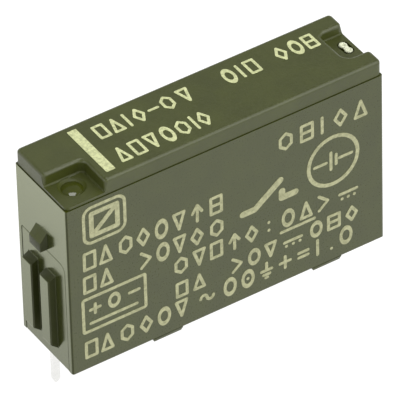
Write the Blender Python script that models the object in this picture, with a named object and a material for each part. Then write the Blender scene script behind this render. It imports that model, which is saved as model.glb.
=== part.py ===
"""A slim single-pole power relay for a printed circuit board.

The housing is a plastic sleeve, a lid and a base. Inside, a coil with an iron core and a yoke pulls an
armature, which pushes a card along the top of the coil. The card bends a contact spring until its
contact meets the fixed one. Four pins in one row leave through the base.

X runs along the length, from the ribbed end to the plain one, Y across the width and Z up. The origin
is the centre of the plane that the feet stand on, which is the face of the circuit board.
"""

import math

import bmesh
import bpy
from mathutils import Matrix, Vector

MM = 0.001

# Housing
BODY_LENGTH = 20.0 * MM
BODY_WIDTH = 5.0 * MM
BODY_HEIGHT = 12.5 * MM
STAND_OFF = 0.2 * MM
CASE_WALL = 0.35 * MM
CASE_EDGE_RADIUS = 0.12 * MM
LID_HEIGHT = 1.0 * MM
LID_INSET = 0.05 * MM
LID_TOP_WALL = 0.45 * MM
LID_EDGE_RADIUS = 0.16 * MM
LID_CORNER_RADIUS = 0.2 * MM
LID_SPIGOT_DEPTH = 0.5 * MM
LID_SPIGOT_WALL = 0.35 * MM
SEAM = 0.04 * MM
FIT = 0.05 * MM
TOUCH = 0.03 * MM

# Flats of the round surfaces
CORNER_STEPS = 4
SMALL_ROUND_STEPS = 16
ROUND_STEPS = 24
SMOOTH_ANGLE = math.radians(35)

# Recess in the lid's near corner at the ribbed end, with its round dimple
CORNER_LENGTH = 2.44 * MM
CORNER_WIDTH = 2.2 * MM
CORNER_FLOOR = 0.2 * MM
CORNER_RADIUS = 0.35 * MM
DIMPLE_RADIUS = 0.78 * MM
DIMPLE_FROM_END = 1.3 * MM
DIMPLE_FROM_SIDE = 1.43 * MM
DIMPLE_DEPTH = 0.2 * MM
RECESS_SKIN = 0.35 * MM

# Recess in the lid's plain end, with the vent's well and its seal
END_RECESS_LENGTH = 1.52 * MM
END_RECESS_FAR = 1.3 * MM
END_RECESS_NEAR = 1.3 * MM
END_RECESS_DEPTH = 0.65 * MM
END_RECESS_SMALL_RADIUS = 0.3 * MM
END_RECESS_LARGE_RADIUS = 0.6 * MM
VENT_FROM_END = 0.57 * MM
VENT_Y = 0.17 * MM
VENT_RADIUS = 0.32 * MM
VENT_SPREAD = 0.5 * MM
VENT_DEPTH = 0.15 * MM
SEAL_RADIUS = 0.24 * MM
SEAL_HEIGHT = 0.28 * MM
SEAL_NECK_WIDTH = 0.32 * MM
SEAL_NECK_HEIGHT = 0.2 * MM
SEAL_DOME = 0.14 * MM

# Cut-out in the case's end wall, filled by the base's end wall
WINDOW_TOP = 7.5 * MM
WINDOW_NEAR_RADIUS = 0.45 * MM
WINDOW_FAR_RADIUS = 0.15 * MM
LUG_WIDTH = 1.1 * MM
LUG_Y = 0.08 * MM
LUG_REACH = 0.46 * MM
LUG_BOTTOM = 7.55 * MM
LUG_HEIGHT = 0.6 * MM
LUG_SLOPE = 0.56 * MM

# Base
END_WALL = 0.4 * MM
BASE_RECESS = 0.55 * MM
FLOOR_THICKNESS = 0.9 * MM
RESIN_THICKNESS = 0.4 * MM
RIB_WIDTH = 0.92 * MM
RIB_SPACING = 1.72 * MM
RIB_Y = 0.18 * MM
RIB_REACH = 0.46 * MM
RIB_TOP = 6.2 * MM
RIB_BOTTOM = 1.12 * MM
RIB_TOP_SLOPE = 0.25 * MM
RIB_BOTTOM_SLOPE = 0.4 * MM
RIB_EDGE_RADIUS = 0.08 * MM
FOOT_LENGTH = 1.9 * MM
FOOT_DEPTH = 0.75 * MM
FOOT_CHAMFER = 0.15 * MM
FOOT_DRAFT = 0.05 * MM
FOOT_FROM_LEFT = 6.05 * MM
FOOT_FROM_RIGHT = 3.72 * MM
PAD_HEIGHT = 0.55 * MM
PAD_LENGTH = 0.6 * MM
PAD_FROM_LEFT = 5.6 * MM
PAD_FROM_COIL_END = 2.1 * MM
BARRIER_THICKNESS = 0.45 * MM
BARRIER_GAP = 0.12 * MM
BARRIER_TO_LEAF = 1.31 * MM

# Pins: the coil's are set from the ribbed end and the contacts' from the plain one
ROW_END = 1.11 * MM
COIL_PITCH = 2.54 * MM
CONTACT_PITCH = 5.08 * MM
ROW_FROM_WALL = 0.95 * MM
PIN_LENGTH = 3.5 * MM
PIN_X = 0.4 * MM
PIN_Y = 0.3 * MM
PIN_TAPER = 0.3 * MM
PIN_TIP_SHARE = 0.45
COIL_PIN_RISE = 0.35 * MM
STRIP_THICKNESS = 0.35 * MM
TAB_WIDTH = 2.0 * MM
TAB_RISE = 1.4 * MM
PLATE_THICKNESS = 0.35 * MM
PLATE_SIDE_ROOM = 0.75 * MM
PLATE_BELOW_LID = 1.4 * MM
PLATE_RADIUS = 0.4 * MM
FIXED_PIN_ROOT = 0.8 * MM

# Magnet
WINDING_BUILD = 0.7 * MM
COIL_ABOVE_YOKE = 0.17 * MM
COIL_BELOW_CARD = 0.85 * MM
POLE_LIP = 0.3 * MM
POLE_THICKNESS = 0.55 * MM
POLE_RADIUS = 0.3 * MM
TAIL_STEP = 0.6 * MM
BARREL_WALL = 0.25 * MM
BARREL_RADIUS = 0.3 * MM
CORE_RADIUS = 0.15 * MM
FLANGE_THICKNESS = 0.5 * MM
FLANGE_SIDE_ROOM = 0.1 * MM
COIL_BELOW_FLANGE = 0.25 * MM
COIL_RADIUS = 0.9 * MM
TAPE_THICKNESS = 0.06 * MM
YOKE_THICKNESS = 0.8 * MM
YOKE_SIDE_ROOM = 0.4 * MM
YOKE_ABOVE_COIL = 0.2 * MM
ARMATURE_THICKNESS = 0.75 * MM
SHOULDER_BELOW_CARD = 0.65 * MM
ARMATURE_TRAVEL = math.radians(4.0)
ARMATURE_ROOM = 0.1 * MM
TONGUE_WIDTH = 1.2 * MM
TONGUE_ABOVE_CARD = 0.15 * MM
HINGE_SPRING_THICKNESS = 0.1 * MM
HINGE_SPRING_WIDTH = 2.2 * MM
HINGE_SPRING_RUN = 2.9 * MM
HINGE_SPRING_RISE = 2.3 * MM
HINGE_SPRING_BEND = 0.1 * MM
HINGE_RIVET_FROM_HINGE = 1.3 * MM
HINGE_RIVET_Y = -0.3 * MM
HINGE_RIVET_RADIUS = 0.25 * MM
HINGE_RIVET_HEAD_RADIUS = 0.42 * MM
HINGE_RIVET_HEAD = 0.2 * MM
LEAD_RADIUS = 0.04 * MM
LEAD_TURNS = 3
LEAD_TURN_POINTS = 12
LEAD_PITCH = 0.105 * MM
LEAD_FROM_FLANGE = 0.3 * MM
LEAD_SPACING = 0.5 * MM
LEAD_GAP = 0.04 * MM
LEAD_RISE = 1.2 * MM

# Card and contacts
CARD_BELOW_LID = 0.25 * MM
CARD_THICKNESS = 0.7 * MM
CARD_WIDTH = 2.2 * MM
CARD_GUIDE = 0.1 * MM
FORK_REACH = 0.5 * MM
NOSE_WIDTH = 1.2 * MM
NOSE_LENGTH = 0.6 * MM
NOSE_CHAMFER = 0.2 * MM
LEAF_THICKNESS = 0.12 * MM
LEAF_WIDTH = 2.0 * MM
LEAF_BOTTOM = 0.3 * MM
LEAF_ABOVE_CARD = 0.1 * MM
LEAF_RIVET_RISE = 1.0 * MM
LEAF_RIVET_RADIUS = 0.2 * MM
LEAF_RIVET_HEAD_RADIUS = 0.35 * MM
LEAF_RIVET_HEAD = 0.18 * MM
RIVET_CROWN_SHARE = 0.78
CONTACT_BELOW_PLATE_TOP = 1.2 * MM
CONTACT_RADIUS = 0.7 * MM
CONTACT_HEAD = 0.32 * MM
CONTACT_DOME = 0.12 * MM
CONTACT_SHANK_RADIUS = 0.35 * MM
CONTACT_UPSET = 0.12 * MM
CONTACT_UPSET_RADIUS = 0.5 * MM
CONTACT_RINGS = 3
CONTACT_CLEARANCE = 0.02 * MM

# Heights and places that follow from the sizes above
SEAM_Z = BODY_HEIGHT - LID_HEIGHT
LEFT = -BODY_LENGTH / 2
RIGHT = BODY_LENGTH / 2
INNER_LEFT = LEFT + CASE_WALL
INNER_RIGHT = RIGHT - CASE_WALL
INNER_HALF = BODY_WIDTH / 2 - CASE_WALL
FLOOR_UNDER = STAND_OFF + BASE_RECESS
FLOOR_TOP = FLOOR_UNDER + FLOOR_THICKNESS
SPIGOT_BOTTOM = SEAM_Z - LID_SPIGOT_DEPTH
ROW_Y = INNER_HALF - ROW_FROM_WALL
FOOT_LEFT_X = LEFT + FOOT_FROM_LEFT
FOOT_RIGHT_X = RIGHT - FOOT_FROM_RIGHT
COIL_PIN_XS = (LEFT + ROW_END, LEFT + ROW_END + COIL_PITCH)
FIXED_X = RIGHT - ROW_END
COMMON_X = FIXED_X - CONTACT_PITCH
YOKE_UNDER = FLOOR_TOP + PAD_HEIGHT + TOUCH
YOKE_UPPER = YOKE_UNDER + YOKE_THICKNESS
CARD_TOP = SPIGOT_BOTTOM - CARD_BELOW_LID
CARD_BOTTOM = CARD_TOP - CARD_THICKNESS
PLATE_TOP = SPIGOT_BOTTOM - PLATE_BELOW_LID
CONTACT_Z = PLATE_TOP - CONTACT_BELOW_PLATE_TOP

# Widths and heights of the magnet, from the room in the case inwards
PLATE_WIDTH = 2 * (INNER_HALF - PLATE_SIDE_ROOM)
FLANGE_WIDTH = 2 * (INNER_HALF - FLANGE_SIDE_ROOM)
YOKE_WIDTH = 2 * (INNER_HALF - YOKE_SIDE_ROOM)
COIL_WIDTH = FLANGE_WIDTH - 2 * COIL_BELOW_FLANGE
COIL_BOTTOM = YOKE_UPPER + COIL_ABOVE_YOKE
COIL_TOP = CARD_BOTTOM - COIL_BELOW_CARD
COIL_HEIGHT = COIL_TOP - COIL_BOTTOM
CORE_Z = (COIL_TOP + COIL_BOTTOM) / 2
CORE_COVER = WINDING_BUILD + BARREL_WALL + 2 * TOUCH
CORE_WIDTH = COIL_WIDTH - 2 * CORE_COVER
CORE_HEIGHT = COIL_HEIGHT - 2 * CORE_COVER
POLE_WIDTH = CORE_WIDTH + 2 * POLE_LIP
POLE_HEIGHT = CORE_HEIGHT + 2 * POLE_LIP
TAIL_HEIGHT = CORE_HEIGHT - 2 * TAIL_STEP
YOKE_TOP = COIL_TOP + YOKE_ABOVE_COIL
ARMATURE_SHOULDER = CARD_BOTTOM - SHOULDER_BELOW_CARD

# The armature turns about the edge of the yoke. Pulled in, it stands upright against the pole; at rest
# it leans towards the ribbed end by its travel, with room left to the end wall.
LEAN = math.tan(ARMATURE_TRAVEL)
HINGE_Z = YOKE_UNDER
TONGUE_TOP = CARD_TOP + TONGUE_ABOVE_CARD
HINGE_X = ARMATURE_ROOM + ARMATURE_THICKNESS + max(
    INNER_LEFT + (TONGUE_TOP - HINGE_Z) * LEAN,
    LEFT + END_WALL + (WINDOW_TOP - HINGE_Z) * LEAN,
)
HINGE_RIVET_X = HINGE_X + HINGE_RIVET_FROM_HINGE
POLE_X = HINGE_X + TOUCH
CARD_STROKE = (CARD_BOTTOM - HINGE_Z) * ARMATURE_TRAVEL

# The contacts are set from the fixed pin back to the spring.
FIXED_PLATE_X = FIXED_X - PLATE_THICKNESS / 2
FIXED_FACE_X = FIXED_PLATE_X - TOUCH - CONTACT_HEAD - CONTACT_DOME
FLEX_Z = FLOOR_TOP + LEAF_RIVET_RISE
NOSE_Z = CARD_BOTTOM + CARD_THICKNESS / 2
LEAF_TRAVEL = CARD_STROKE / (NOSE_Z - FLEX_Z)
CONTACT_GAP = (CONTACT_Z - FLEX_Z) * LEAF_TRAVEL + CONTACT_CLEARANCE
MOVING_FACE_X = FIXED_FACE_X - CONTACT_GAP
LEAF_RIGHT_X = MOVING_FACE_X - CONTACT_DOME - CONTACT_HEAD - TOUCH
LEAF_X = LEAF_RIGHT_X - LEAF_THICKNESS
TAB_X = LEAF_RIGHT_X + TOUCH

# The coil fills the room between the pole and the barrier.
COIL_LEFT = POLE_X + POLE_THICKNESS + TOUCH
BARRIER_X = LEAF_X - BARRIER_TO_LEAF - BARRIER_THICKNESS
UPRIGHT_X = BARRIER_X - BARRIER_GAP - YOKE_THICKNESS
COIL_RIGHT = UPRIGHT_X - TOUCH
PAD_LEFT_X = LEFT + PAD_FROM_LEFT
PAD_RIGHT_X = COIL_RIGHT - PAD_FROM_COIL_END

COLOURS = {
    "housing": ((0.115, 0.118, 0.068, 1.0), 0.38, 0.0),
    "seal": ((0.72, 0.74, 0.52, 1.0), 0.45, 0.0),
    "resin": ((0.030, 0.032, 0.026, 1.0), 0.35, 0.0),
    "tinned": ((0.72, 0.72, 0.70, 1.0), 0.28, 1.0),
    "bobbin": ((0.62, 0.60, 0.52, 1.0), 0.45, 0.0),
    "copper": ((0.62, 0.25, 0.11, 1.0), 0.35, 1.0),
    "tape": ((0.70, 0.52, 0.10, 1.0), 0.40, 0.0),
    "iron": ((0.42, 0.42, 0.41, 1.0), 0.40, 1.0),
    "spring": ((0.72, 0.50, 0.30, 1.0), 0.30, 1.0),
    "silver": ((0.80, 0.79, 0.75, 1.0), 0.25, 1.0),
    "card": ((0.78, 0.77, 0.70, 1.0), 0.50, 0.0),
}


def clear_scene():
    for obj in list(bpy.data.objects):
        bpy.data.objects.remove(obj, do_unlink=True)


def material(kind, name):
    """A material of one of the kinds above, named for its piece."""
    colour, roughness, metallic = COLOURS[kind]
    made = bpy.data.materials.new(name)
    made.use_nodes = True
    shader = made.node_tree.nodes["Principled BSDF"]
    shader.inputs["Base Color"].default_value = colour
    shader.inputs["Roughness"].default_value = roughness
    shader.inputs["Metallic"].default_value = metallic
    made.diffuse_color = colour
    return made


def mesh_object(name, form):
    """An object in the scene that holds a bmesh, with its faces turned outwards."""
    bmesh.ops.recalc_face_normals(form, faces=form.faces)
    mesh = bpy.data.meshes.new(name)
    form.to_mesh(mesh)
    form.free()
    obj = bpy.data.objects.new(name, mesh)
    bpy.context.scene.collection.objects.link(obj)
    return obj


def box(name, low, high):
    form = bmesh.new()
    size = [b - a for a, b in zip(low, high)]
    middle = [(a + b) / 2 for a, b in zip(low, high)]
    bmesh.ops.create_cube(form, size=1.0, matrix=Matrix.Translation(middle) @ Matrix.Diagonal((*size, 1.0)))
    return mesh_object(name, form)


# How an outline's two coordinates and the direction that it is extruded along lie in the part.
PLANES = {
    "x": lambda u, v, w: (w, u, v),
    "y": lambda u, v, w: (u, w, v),
    "z": lambda u, v, w: (u, v, w),
}


def prism(name, outline, along, low, high):
    """An outline extruded along one axis from low to high."""
    place = PLANES[along]
    form = bmesh.new()
    face = form.faces.new([form.verts.new(place(u, v, low)) for u, v in outline])
    swept = bmesh.ops.extrude_face_region(form, geom=[face])
    moved = [item for item in swept["geom"] if isinstance(item, bmesh.types.BMVert)]
    bmesh.ops.translate(form, verts=moved, vec=Vector(place(0.0, 0.0, high - low)))
    return mesh_object(name, form)


def arc(centre_u, centre_v, radius, start, end, steps):
    """Points of an arc, with its angles in degrees."""
    angles = [math.radians(start + (end - start) * i / steps) for i in range(steps + 1)]
    return [(centre_u + radius * math.cos(a), centre_v + radius * math.sin(a)) for a in angles]


def dome(start, height, radius, steps=CORNER_STEPS):
    """A quarter of an ellipse from its rim to its tip, as (distance along the axis, radius)."""
    turns = [math.pi / 2 * i / steps for i in range(steps)]
    rim = [(start + height * math.sin(turn), radius * math.cos(turn)) for turn in turns]
    return rim + [(start + height, 0.0)]


def rounded(left, bottom, right, top, radii, steps=CORNER_STEPS):
    """A rectangle with a radius at each corner, from the lower left one anticlockwise."""
    corners = (
        (left, bottom, 1, 1, 180),
        (right, bottom, -1, 1, 270),
        (right, top, -1, -1, 0),
        (left, top, 1, -1, 90),
    )
    points = []
    for (u, v, to_u, to_v, start), radius in zip(corners, radii):
        if radius:
            points += arc(u + to_u * radius, v + to_v * radius, radius, start, start + 90, steps)
        else:
            points.append((u, v))
    return points


def centred(width, height, radius, steps=CORNER_STEPS, middle=(0.0, 0.0)):
    """A rounded rectangle about its middle."""
    u, v = middle
    return rounded(u - width / 2, v - height / 2, u + width / 2, v + height / 2, (radius,) * 4, steps)


def turned(name, profile, axis, place, steps=ROUND_STEPS):
    """A profile of (distance along the axis, radius) turned about X or Z through a place."""
    form = bmesh.new()
    points = [form.verts.new((radius, 0.0, along)) for along, radius in profile]
    edges = [form.edges.new(pair) for pair in zip(points, points[1:])]
    bmesh.ops.spin(
        form,
        geom=points + edges,
        axis=(0, 0, 1),
        cent=(0, 0, 0),
        angle=math.tau,
        steps=steps,
        use_merge=True,
    )
    bmesh.ops.remove_doubles(form, verts=form.verts, dist=1e-8)
    turn = Matrix.Rotation(math.pi / 2, 4, "Y") if axis == "x" else Matrix.Identity(4)
    bmesh.ops.transform(form, matrix=Matrix.Translation(place) @ turn, verts=form.verts)
    obj = mesh_object(name, form)
    smooth(obj)
    return obj


def smooth(obj):
    obj.data.shade_smooth()
    obj.data.set_sharp_from_angle(angle=SMOOTH_ANGLE)


def tool(obj):
    """Marks an object as one that only cuts or joins another."""
    obj.hide_render = True
    obj.display_type = "WIRE"
    return obj


def combine(obj, other, operation):
    modifier = obj.modifiers.new(other.name, "BOOLEAN")
    modifier.operation = operation
    modifier.object = tool(other)


def cut(obj, other):
    combine(obj, other, "DIFFERENCE")


def join(obj, other):
    combine(obj, other, "UNION")


def finish(obj, kind):
    obj.data.materials.append(material(kind, obj.name + "_finish"))
    return obj


def set_origin(obj, place):
    """Moves an object's origin to a place and leaves its shape where it is."""
    obj.data.transform(Matrix.Translation(-Vector(place)))
    obj.location = place


def hang(obj, carrier):
    """Parents an object to its carrier and keeps its place."""
    obj.parent = carrier
    obj.matrix_parent_inverse = Matrix.Translation(-Vector(carrier.location))


def case_section(inset, radius):
    return centred(BODY_LENGTH - 2 * inset, BODY_WIDTH - 2 * inset, radius)


def window_outline(gap):
    """The cut-out in the case's end wall, seen along X; the gap shrinks it to the wall that fills it."""
    half = INNER_HALF - gap
    top = WINDOW_TOP - gap
    radii = (0, 0, WINDOW_FAR_RADIUS - gap, WINDOW_NEAR_RADIUS - gap)
    return rounded(-half, STAND_OFF, half, top, radii)


def build_case():
    case = prism("case", case_section(0, CASE_EDGE_RADIUS), "z", STAND_OFF, SEAM_Z)
    hollow = rounded(INNER_LEFT, -INNER_HALF, INNER_RIGHT, INNER_HALF, (0, 0, 0, 0))
    cut(case, prism("case_hollow", hollow, "z", STAND_OFF - CASE_WALL, SEAM_Z + CASE_WALL))
    window = window_outline(0)
    window[0] = (-INNER_HALF, STAND_OFF - CASE_WALL)
    window[1] = (INNER_HALF, STAND_OFF - CASE_WALL)
    cut(case, prism("case_window", window, "x", LEFT - CASE_WALL, INNER_LEFT + FIT))
    lug = (
        (LEFT + CASE_WALL / 2, LUG_BOTTOM),
        (LEFT + CASE_WALL / 2, LUG_BOTTOM + LUG_HEIGHT + LUG_SLOPE),
        (LEFT, LUG_BOTTOM + LUG_HEIGHT + LUG_SLOPE),
        (LEFT - LUG_REACH, LUG_BOTTOM + LUG_HEIGHT),
        (LEFT - LUG_REACH, LUG_BOTTOM),
    )
    join(case, prism("case_lug", lug, "y", LUG_Y - LUG_WIDTH / 2, LUG_Y + LUG_WIDTH / 2))
    return finish(case, "housing")


def lid_shell():
    """The lid's outer block, with its top edges rounded."""
    form = bmesh.new()
    outline = centred(BODY_LENGTH - 2 * LID_INSET, BODY_WIDTH - 2 * LID_INSET, LID_CORNER_RADIUS)
    bottom = SEAM_Z + SEAM
    face = form.faces.new([form.verts.new((u, v, bottom)) for u, v in outline])
    swept = bmesh.ops.extrude_face_region(form, geom=[face])
    moved = [item for item in swept["geom"] if isinstance(item, bmesh.types.BMVert)]
    bmesh.ops.translate(form, verts=moved, vec=(0, 0, BODY_HEIGHT - bottom))
    top = [edge for edge in form.edges if all(abs(v.co.z - BODY_HEIGHT) < 1e-9 for v in edge.verts)]
    bmesh.ops.bevel(
        form,
        geom=top,
        offset=LID_EDGE_RADIUS,
        segments=CORNER_STEPS,
        profile=0.5,
        affect="EDGES",
        clamp_overlap=True,
    )
    return mesh_object("lid", form)


def build_lid():
    lid = lid_shell()
    half = BODY_WIDTH / 2 - LID_INSET
    end = BODY_LENGTH / 2 - LID_INSET
    beyond = BODY_LENGTH

    spigot = rounded(INNER_LEFT + FIT, -INNER_HALF + FIT, INNER_RIGHT - FIT, INNER_HALF - FIT, (0, 0, 0, 0))
    join(lid, prism("lid_spigot", spigot, "z", SPIGOT_BOTTOM, SEAM_Z + 2 * SEAM))
    wall = FIT + LID_SPIGOT_WALL
    inside = INNER_HALF - wall
    hollow = rounded(INNER_LEFT + wall, -inside, INNER_RIGHT - wall, inside, (0, 0, 0, 0))
    cut(lid, prism("lid_hollow", hollow, "z", SPIGOT_BOTTOM - FIT, BODY_HEIGHT - LID_TOP_WALL))

    corner_x = -end + CORNER_LENGTH
    corner_y = -half + CORNER_WIDTH
    corner_floor = SEAM_Z + CORNER_FLOOR
    skin = rounded(
        INNER_LEFT + FIT,
        -INNER_HALF + FIT,
        corner_x + RECESS_SKIN,
        corner_y + RECESS_SKIN,
        (0, 0, CORNER_RADIUS, 0),
    )
    skin_top = BODY_HEIGHT - LID_TOP_WALL / 2
    join(lid, prism("lid_corner_skin", skin, "z", corner_floor - RECESS_SKIN, skin_top))
    recess = rounded(-beyond, -beyond, corner_x, corner_y, (0, 0, CORNER_RADIUS, 0))
    cut(lid, prism("lid_corner_recess", recess, "z", corner_floor, BODY_HEIGHT + FIT))
    dimple = [(FIT, 0.0), (FIT, DIMPLE_RADIUS)] + dome(0.0, -DIMPLE_DEPTH, DIMPLE_RADIUS)
    place = (LEFT + DIMPLE_FROM_END, -BODY_WIDTH / 2 + DIMPLE_FROM_SIDE, corner_floor)
    cut(lid, turned("lid_dimple", dimple, "z", place))

    end_floor = BODY_HEIGHT - END_RECESS_DEPTH
    end_x = end - END_RECESS_LENGTH
    well = vent_outline(VENT_RADIUS, VENT_SPREAD)
    skin = rounded(
        end_x - RECESS_SKIN,
        -END_RECESS_NEAR - RECESS_SKIN,
        INNER_RIGHT - wall / 2,
        END_RECESS_FAR + RECESS_SKIN,
        (0, 0, 0, 0),
    )
    skin_bottom = end_floor - VENT_DEPTH - RECESS_SKIN
    join(lid, prism("lid_end_skin", skin, "z", skin_bottom, skin_top))
    radii = (END_RECESS_LARGE_RADIUS, 0, 0, END_RECESS_SMALL_RADIUS)
    recess = rounded(end_x, -END_RECESS_NEAR, end + beyond, END_RECESS_FAR, radii)
    cut(lid, prism("lid_end_recess", recess, "z", end_floor, BODY_HEIGHT + FIT))
    cut(lid, prism("lid_vent_well", well, "z", end_floor - VENT_DEPTH, end_floor + FIT))
    return finish(lid, "housing")


def vent_outline(radius, spread):
    """A slot with round ends, across the width."""
    x = BODY_LENGTH / 2 - VENT_FROM_END
    steps = 2 * CORNER_STEPS
    lower = arc(x, VENT_Y - spread / 2, radius, 180, 360, steps)
    upper = arc(x, VENT_Y + spread / 2, radius, 0, 180, steps)
    return lower + upper


def build_vent_seal():
    """The melted plug: two low domes run into each other."""
    bottom = BODY_HEIGHT - END_RECESS_DEPTH - VENT_DEPTH + TOUCH
    neck = SEAL_NECK_WIDTH / 2
    x = BODY_LENGTH / 2 - VENT_FROM_END
    seal = prism(
        "vent_seal",
        rounded(x - neck, VENT_Y - VENT_SPREAD / 2, x + neck, VENT_Y + VENT_SPREAD / 2, (0, 0, 0, 0)),
        "z",
        bottom,
        bottom + SEAL_NECK_HEIGHT,
    )
    profile = [(0.0, 0.0), (0.0, SEAL_RADIUS)] + dome(SEAL_HEIGHT - SEAL_DOME, SEAL_DOME, SEAL_RADIUS)
    for side, name in ((-1, "vent_seal_near"), (1, "vent_seal_far")):
        place = (x, VENT_Y + side * VENT_SPREAD / 2, bottom)
        join(seal, turned(name, profile, "z", place, steps=SMALL_ROUND_STEPS))
    return finish(seal, "seal")


def rib(name, middle):
    """One upright rib on the outside of the end wall."""
    outline = (
        (LEFT + END_WALL / 2, RIB_BOTTOM),
        (LEFT + END_WALL / 2, RIB_TOP),
        (LEFT, RIB_TOP),
        (LEFT - RIB_REACH, RIB_TOP - RIB_TOP_SLOPE),
        (LEFT - RIB_REACH, RIB_BOTTOM + RIB_BOTTOM_SLOPE),
        (LEFT, RIB_BOTTOM),
    )
    made = prism(name, outline, "y", middle - RIB_WIDTH / 2, middle + RIB_WIDTH / 2)
    form = bmesh.new()
    form.from_mesh(made.data)
    front = LEFT - RIB_REACH
    edges = [
        edge
        for edge in form.edges
        if all(abs(v.co.x - front) < 1e-8 for v in edge.verts)
        and abs(edge.verts[0].co.y - edge.verts[1].co.y) < 1e-8
    ]
    bmesh.ops.bevel(form, geom=edges, offset=RIB_EDGE_RADIUS, segments=2, profile=0.5, affect="EDGES")
    form.to_mesh(made.data)
    form.free()
    return made


def foot(name, middle, side):
    """A stand-off that carries the case's lower edge, on the near side (-1) or the far one (1)."""
    start = middle - FOOT_LENGTH / 2
    end = middle + FOOT_LENGTH / 2
    top = STAND_OFF - SEAM
    outline = (
        (start + FOOT_DRAFT, 0.0),
        (end - FOOT_CHAMFER, 0.0),
        (end, top),
        (start, top),
    )
    outer = side * BODY_WIDTH / 2
    inner = side * (BODY_WIDTH / 2 - FOOT_DEPTH)
    under = side * (BODY_WIDTH / 2 - FOOT_DEPTH + FIT)
    made = prism(name, outline, "y", min(outer, under), max(outer, under))
    post_outer = side * (INNER_HALF - FIT)
    post = box(
        name + "_post",
        (start + FIT, min(post_outer, inner), top / 2),
        (end - FIT, max(post_outer, inner), FLOOR_UNDER + FLOOR_THICKNESS / 2),
    )
    join(made, post)
    return made


def feet_places():
    return [
        (f"foot_{which}_{where}", x, side)
        for where, x in (("left", FOOT_LEFT_X), ("right", FOOT_RIGHT_X))
        for which, side in (("near", -1), ("far", 1))
    ]


def pin_holes():
    """(name, x range, y range) of each hole for a pin through the base and the resin."""
    half_x = PIN_X / 2 + FIT
    rows = (ROW_Y - PIN_Y / 2 - FIT, ROW_Y + PIN_Y / 2 + FIT)
    xs = (*COIL_PIN_XS, COMMON_X, FIXED_X)
    return [(f"pin_hole_{i + 1}", (x - half_x, x + half_x), rows) for i, x in enumerate(xs)]


def build_base():
    half = INNER_HALF - FIT
    base = box("base", (LEFT + END_WALL / 2, -half, FLOOR_UNDER), (INNER_RIGHT - FIT, half, FLOOR_TOP))
    join(base, prism("base_end_wall", window_outline(SEAM), "x", LEFT, LEFT + END_WALL))
    for name, side in (("rib_near", -1), ("rib_far", 1)):
        join(base, rib(name, RIB_Y + side * RIB_SPACING / 2))
    for name, middle, side in feet_places():
        join(base, foot(name, middle, side))
    for name, x in (("pad_left", PAD_LEFT_X), ("pad_right", PAD_RIGHT_X)):
        low = (x - PAD_LENGTH / 2, -YOKE_WIDTH / 2, FLOOR_TOP - FIT)
        join(base, box(name, low, (x + PAD_LENGTH / 2, YOKE_WIDTH / 2, FLOOR_TOP + PAD_HEIGHT)))

    barrier_low = (BARRIER_X, -half, FLOOR_TOP - FIT)
    barrier_high = (BARRIER_X + BARRIER_THICKNESS, half, CARD_TOP + CARD_GUIDE)
    join(base, box("barrier", barrier_low, barrier_high))
    slot = CARD_WIDTH / 2 + CARD_GUIDE
    slot_low = (BARRIER_X - FIT, -slot, CARD_BOTTOM - CARD_GUIDE)
    slot_high = (BARRIER_X + BARRIER_THICKNESS + FIT, slot, CARD_TOP + 2 * CARD_GUIDE)
    cut(base, box("barrier_slot", slot_low, slot_high))

    for name, (x0, x1), (y0, y1) in pin_holes():
        cut(base, box("base_" + name, (x0, y0, FLOOR_UNDER - FIT), (x1, y1, FLOOR_TOP + FIT)))
    strip = STRIP_THICKNESS + 2 * TOUCH
    low = (COMMON_X - PIN_X / 2 - FIT, ROW_Y - PIN_Y / 2 - FIT, FLOOR_UNDER - FIT)
    high = (TAB_X + STRIP_THICKNESS + FIT, ROW_Y + PIN_Y / 2 + FIT, FLOOR_UNDER + strip)
    cut(base, box("strip_groove", low, high))
    low = (TAB_X - FIT, -TAB_WIDTH / 2 - FIT, FLOOR_UNDER - FIT)
    high = (TAB_X + STRIP_THICKNESS + FIT, ROW_Y + PIN_Y / 2 + FIT, FLOOR_TOP + FIT)
    cut(base, box("tab_slot", low, high))
    return finish(base, "housing")


def build_resin():
    half = INNER_HALF - FIT
    top = FLOOR_UNDER - TOUCH
    low = (LEFT + END_WALL + FIT, -half, top - RESIN_THICKNESS)
    resin = box("sealing_resin", low, (INNER_RIGHT - FIT, half, top))
    for name, (x0, x1), (y0, y1) in pin_holes():
        cut(resin, box("resin_" + name, (x0, y0, 0), (x1, y1, FLOOR_TOP)))
    for name, middle, side in feet_places():
        outer = side * BODY_WIDTH / 2
        inner = side * (BODY_WIDTH / 2 - FOOT_DEPTH - FIT)
        notch_low = (middle - FOOT_LENGTH / 2 - FIT, min(outer, inner), 0)
        notch_high = (middle + FOOT_LENGTH / 2 + FIT, max(outer, inner), FLOOR_TOP)
        cut(resin, box("resin_" + name, notch_low, notch_high))
    return finish(resin, "resin")


def pin(name, x, top, width=PIN_X):
    """A square pin whose lower end tapers to a blunt tip."""
    form = bmesh.new()
    bottom = -PIN_LENGTH
    rings = ((top, 1.0), (bottom + PIN_TAPER, 1.0), (bottom, PIN_TIP_SHARE))
    loops = []
    for z, share in rings:
        half_x = width / 2 * share
        half_y = PIN_Y / 2 * share
        corners = ((-half_x, -half_y), (half_x, -half_y), (half_x, half_y), (-half_x, half_y))
        loops.append([form.verts.new((x + dx, ROW_Y + dy, z)) for dx, dy in corners])
    for upper, lower in zip(loops, loops[1:]):
        for i in range(4):
            form.faces.new((upper[i], upper[i - 1], lower[i - 1], lower[i]))
    form.faces.new(loops[0])
    form.faces.new(reversed(loops[-1]))
    return mesh_object(name, form)


def build_coil_pins():
    top = FLOOR_TOP + COIL_PIN_RISE
    return [finish(pin(f"coil_pin_{i + 1}", x, top), "tinned") for i, x in enumerate(COIL_PIN_XS)]


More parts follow.
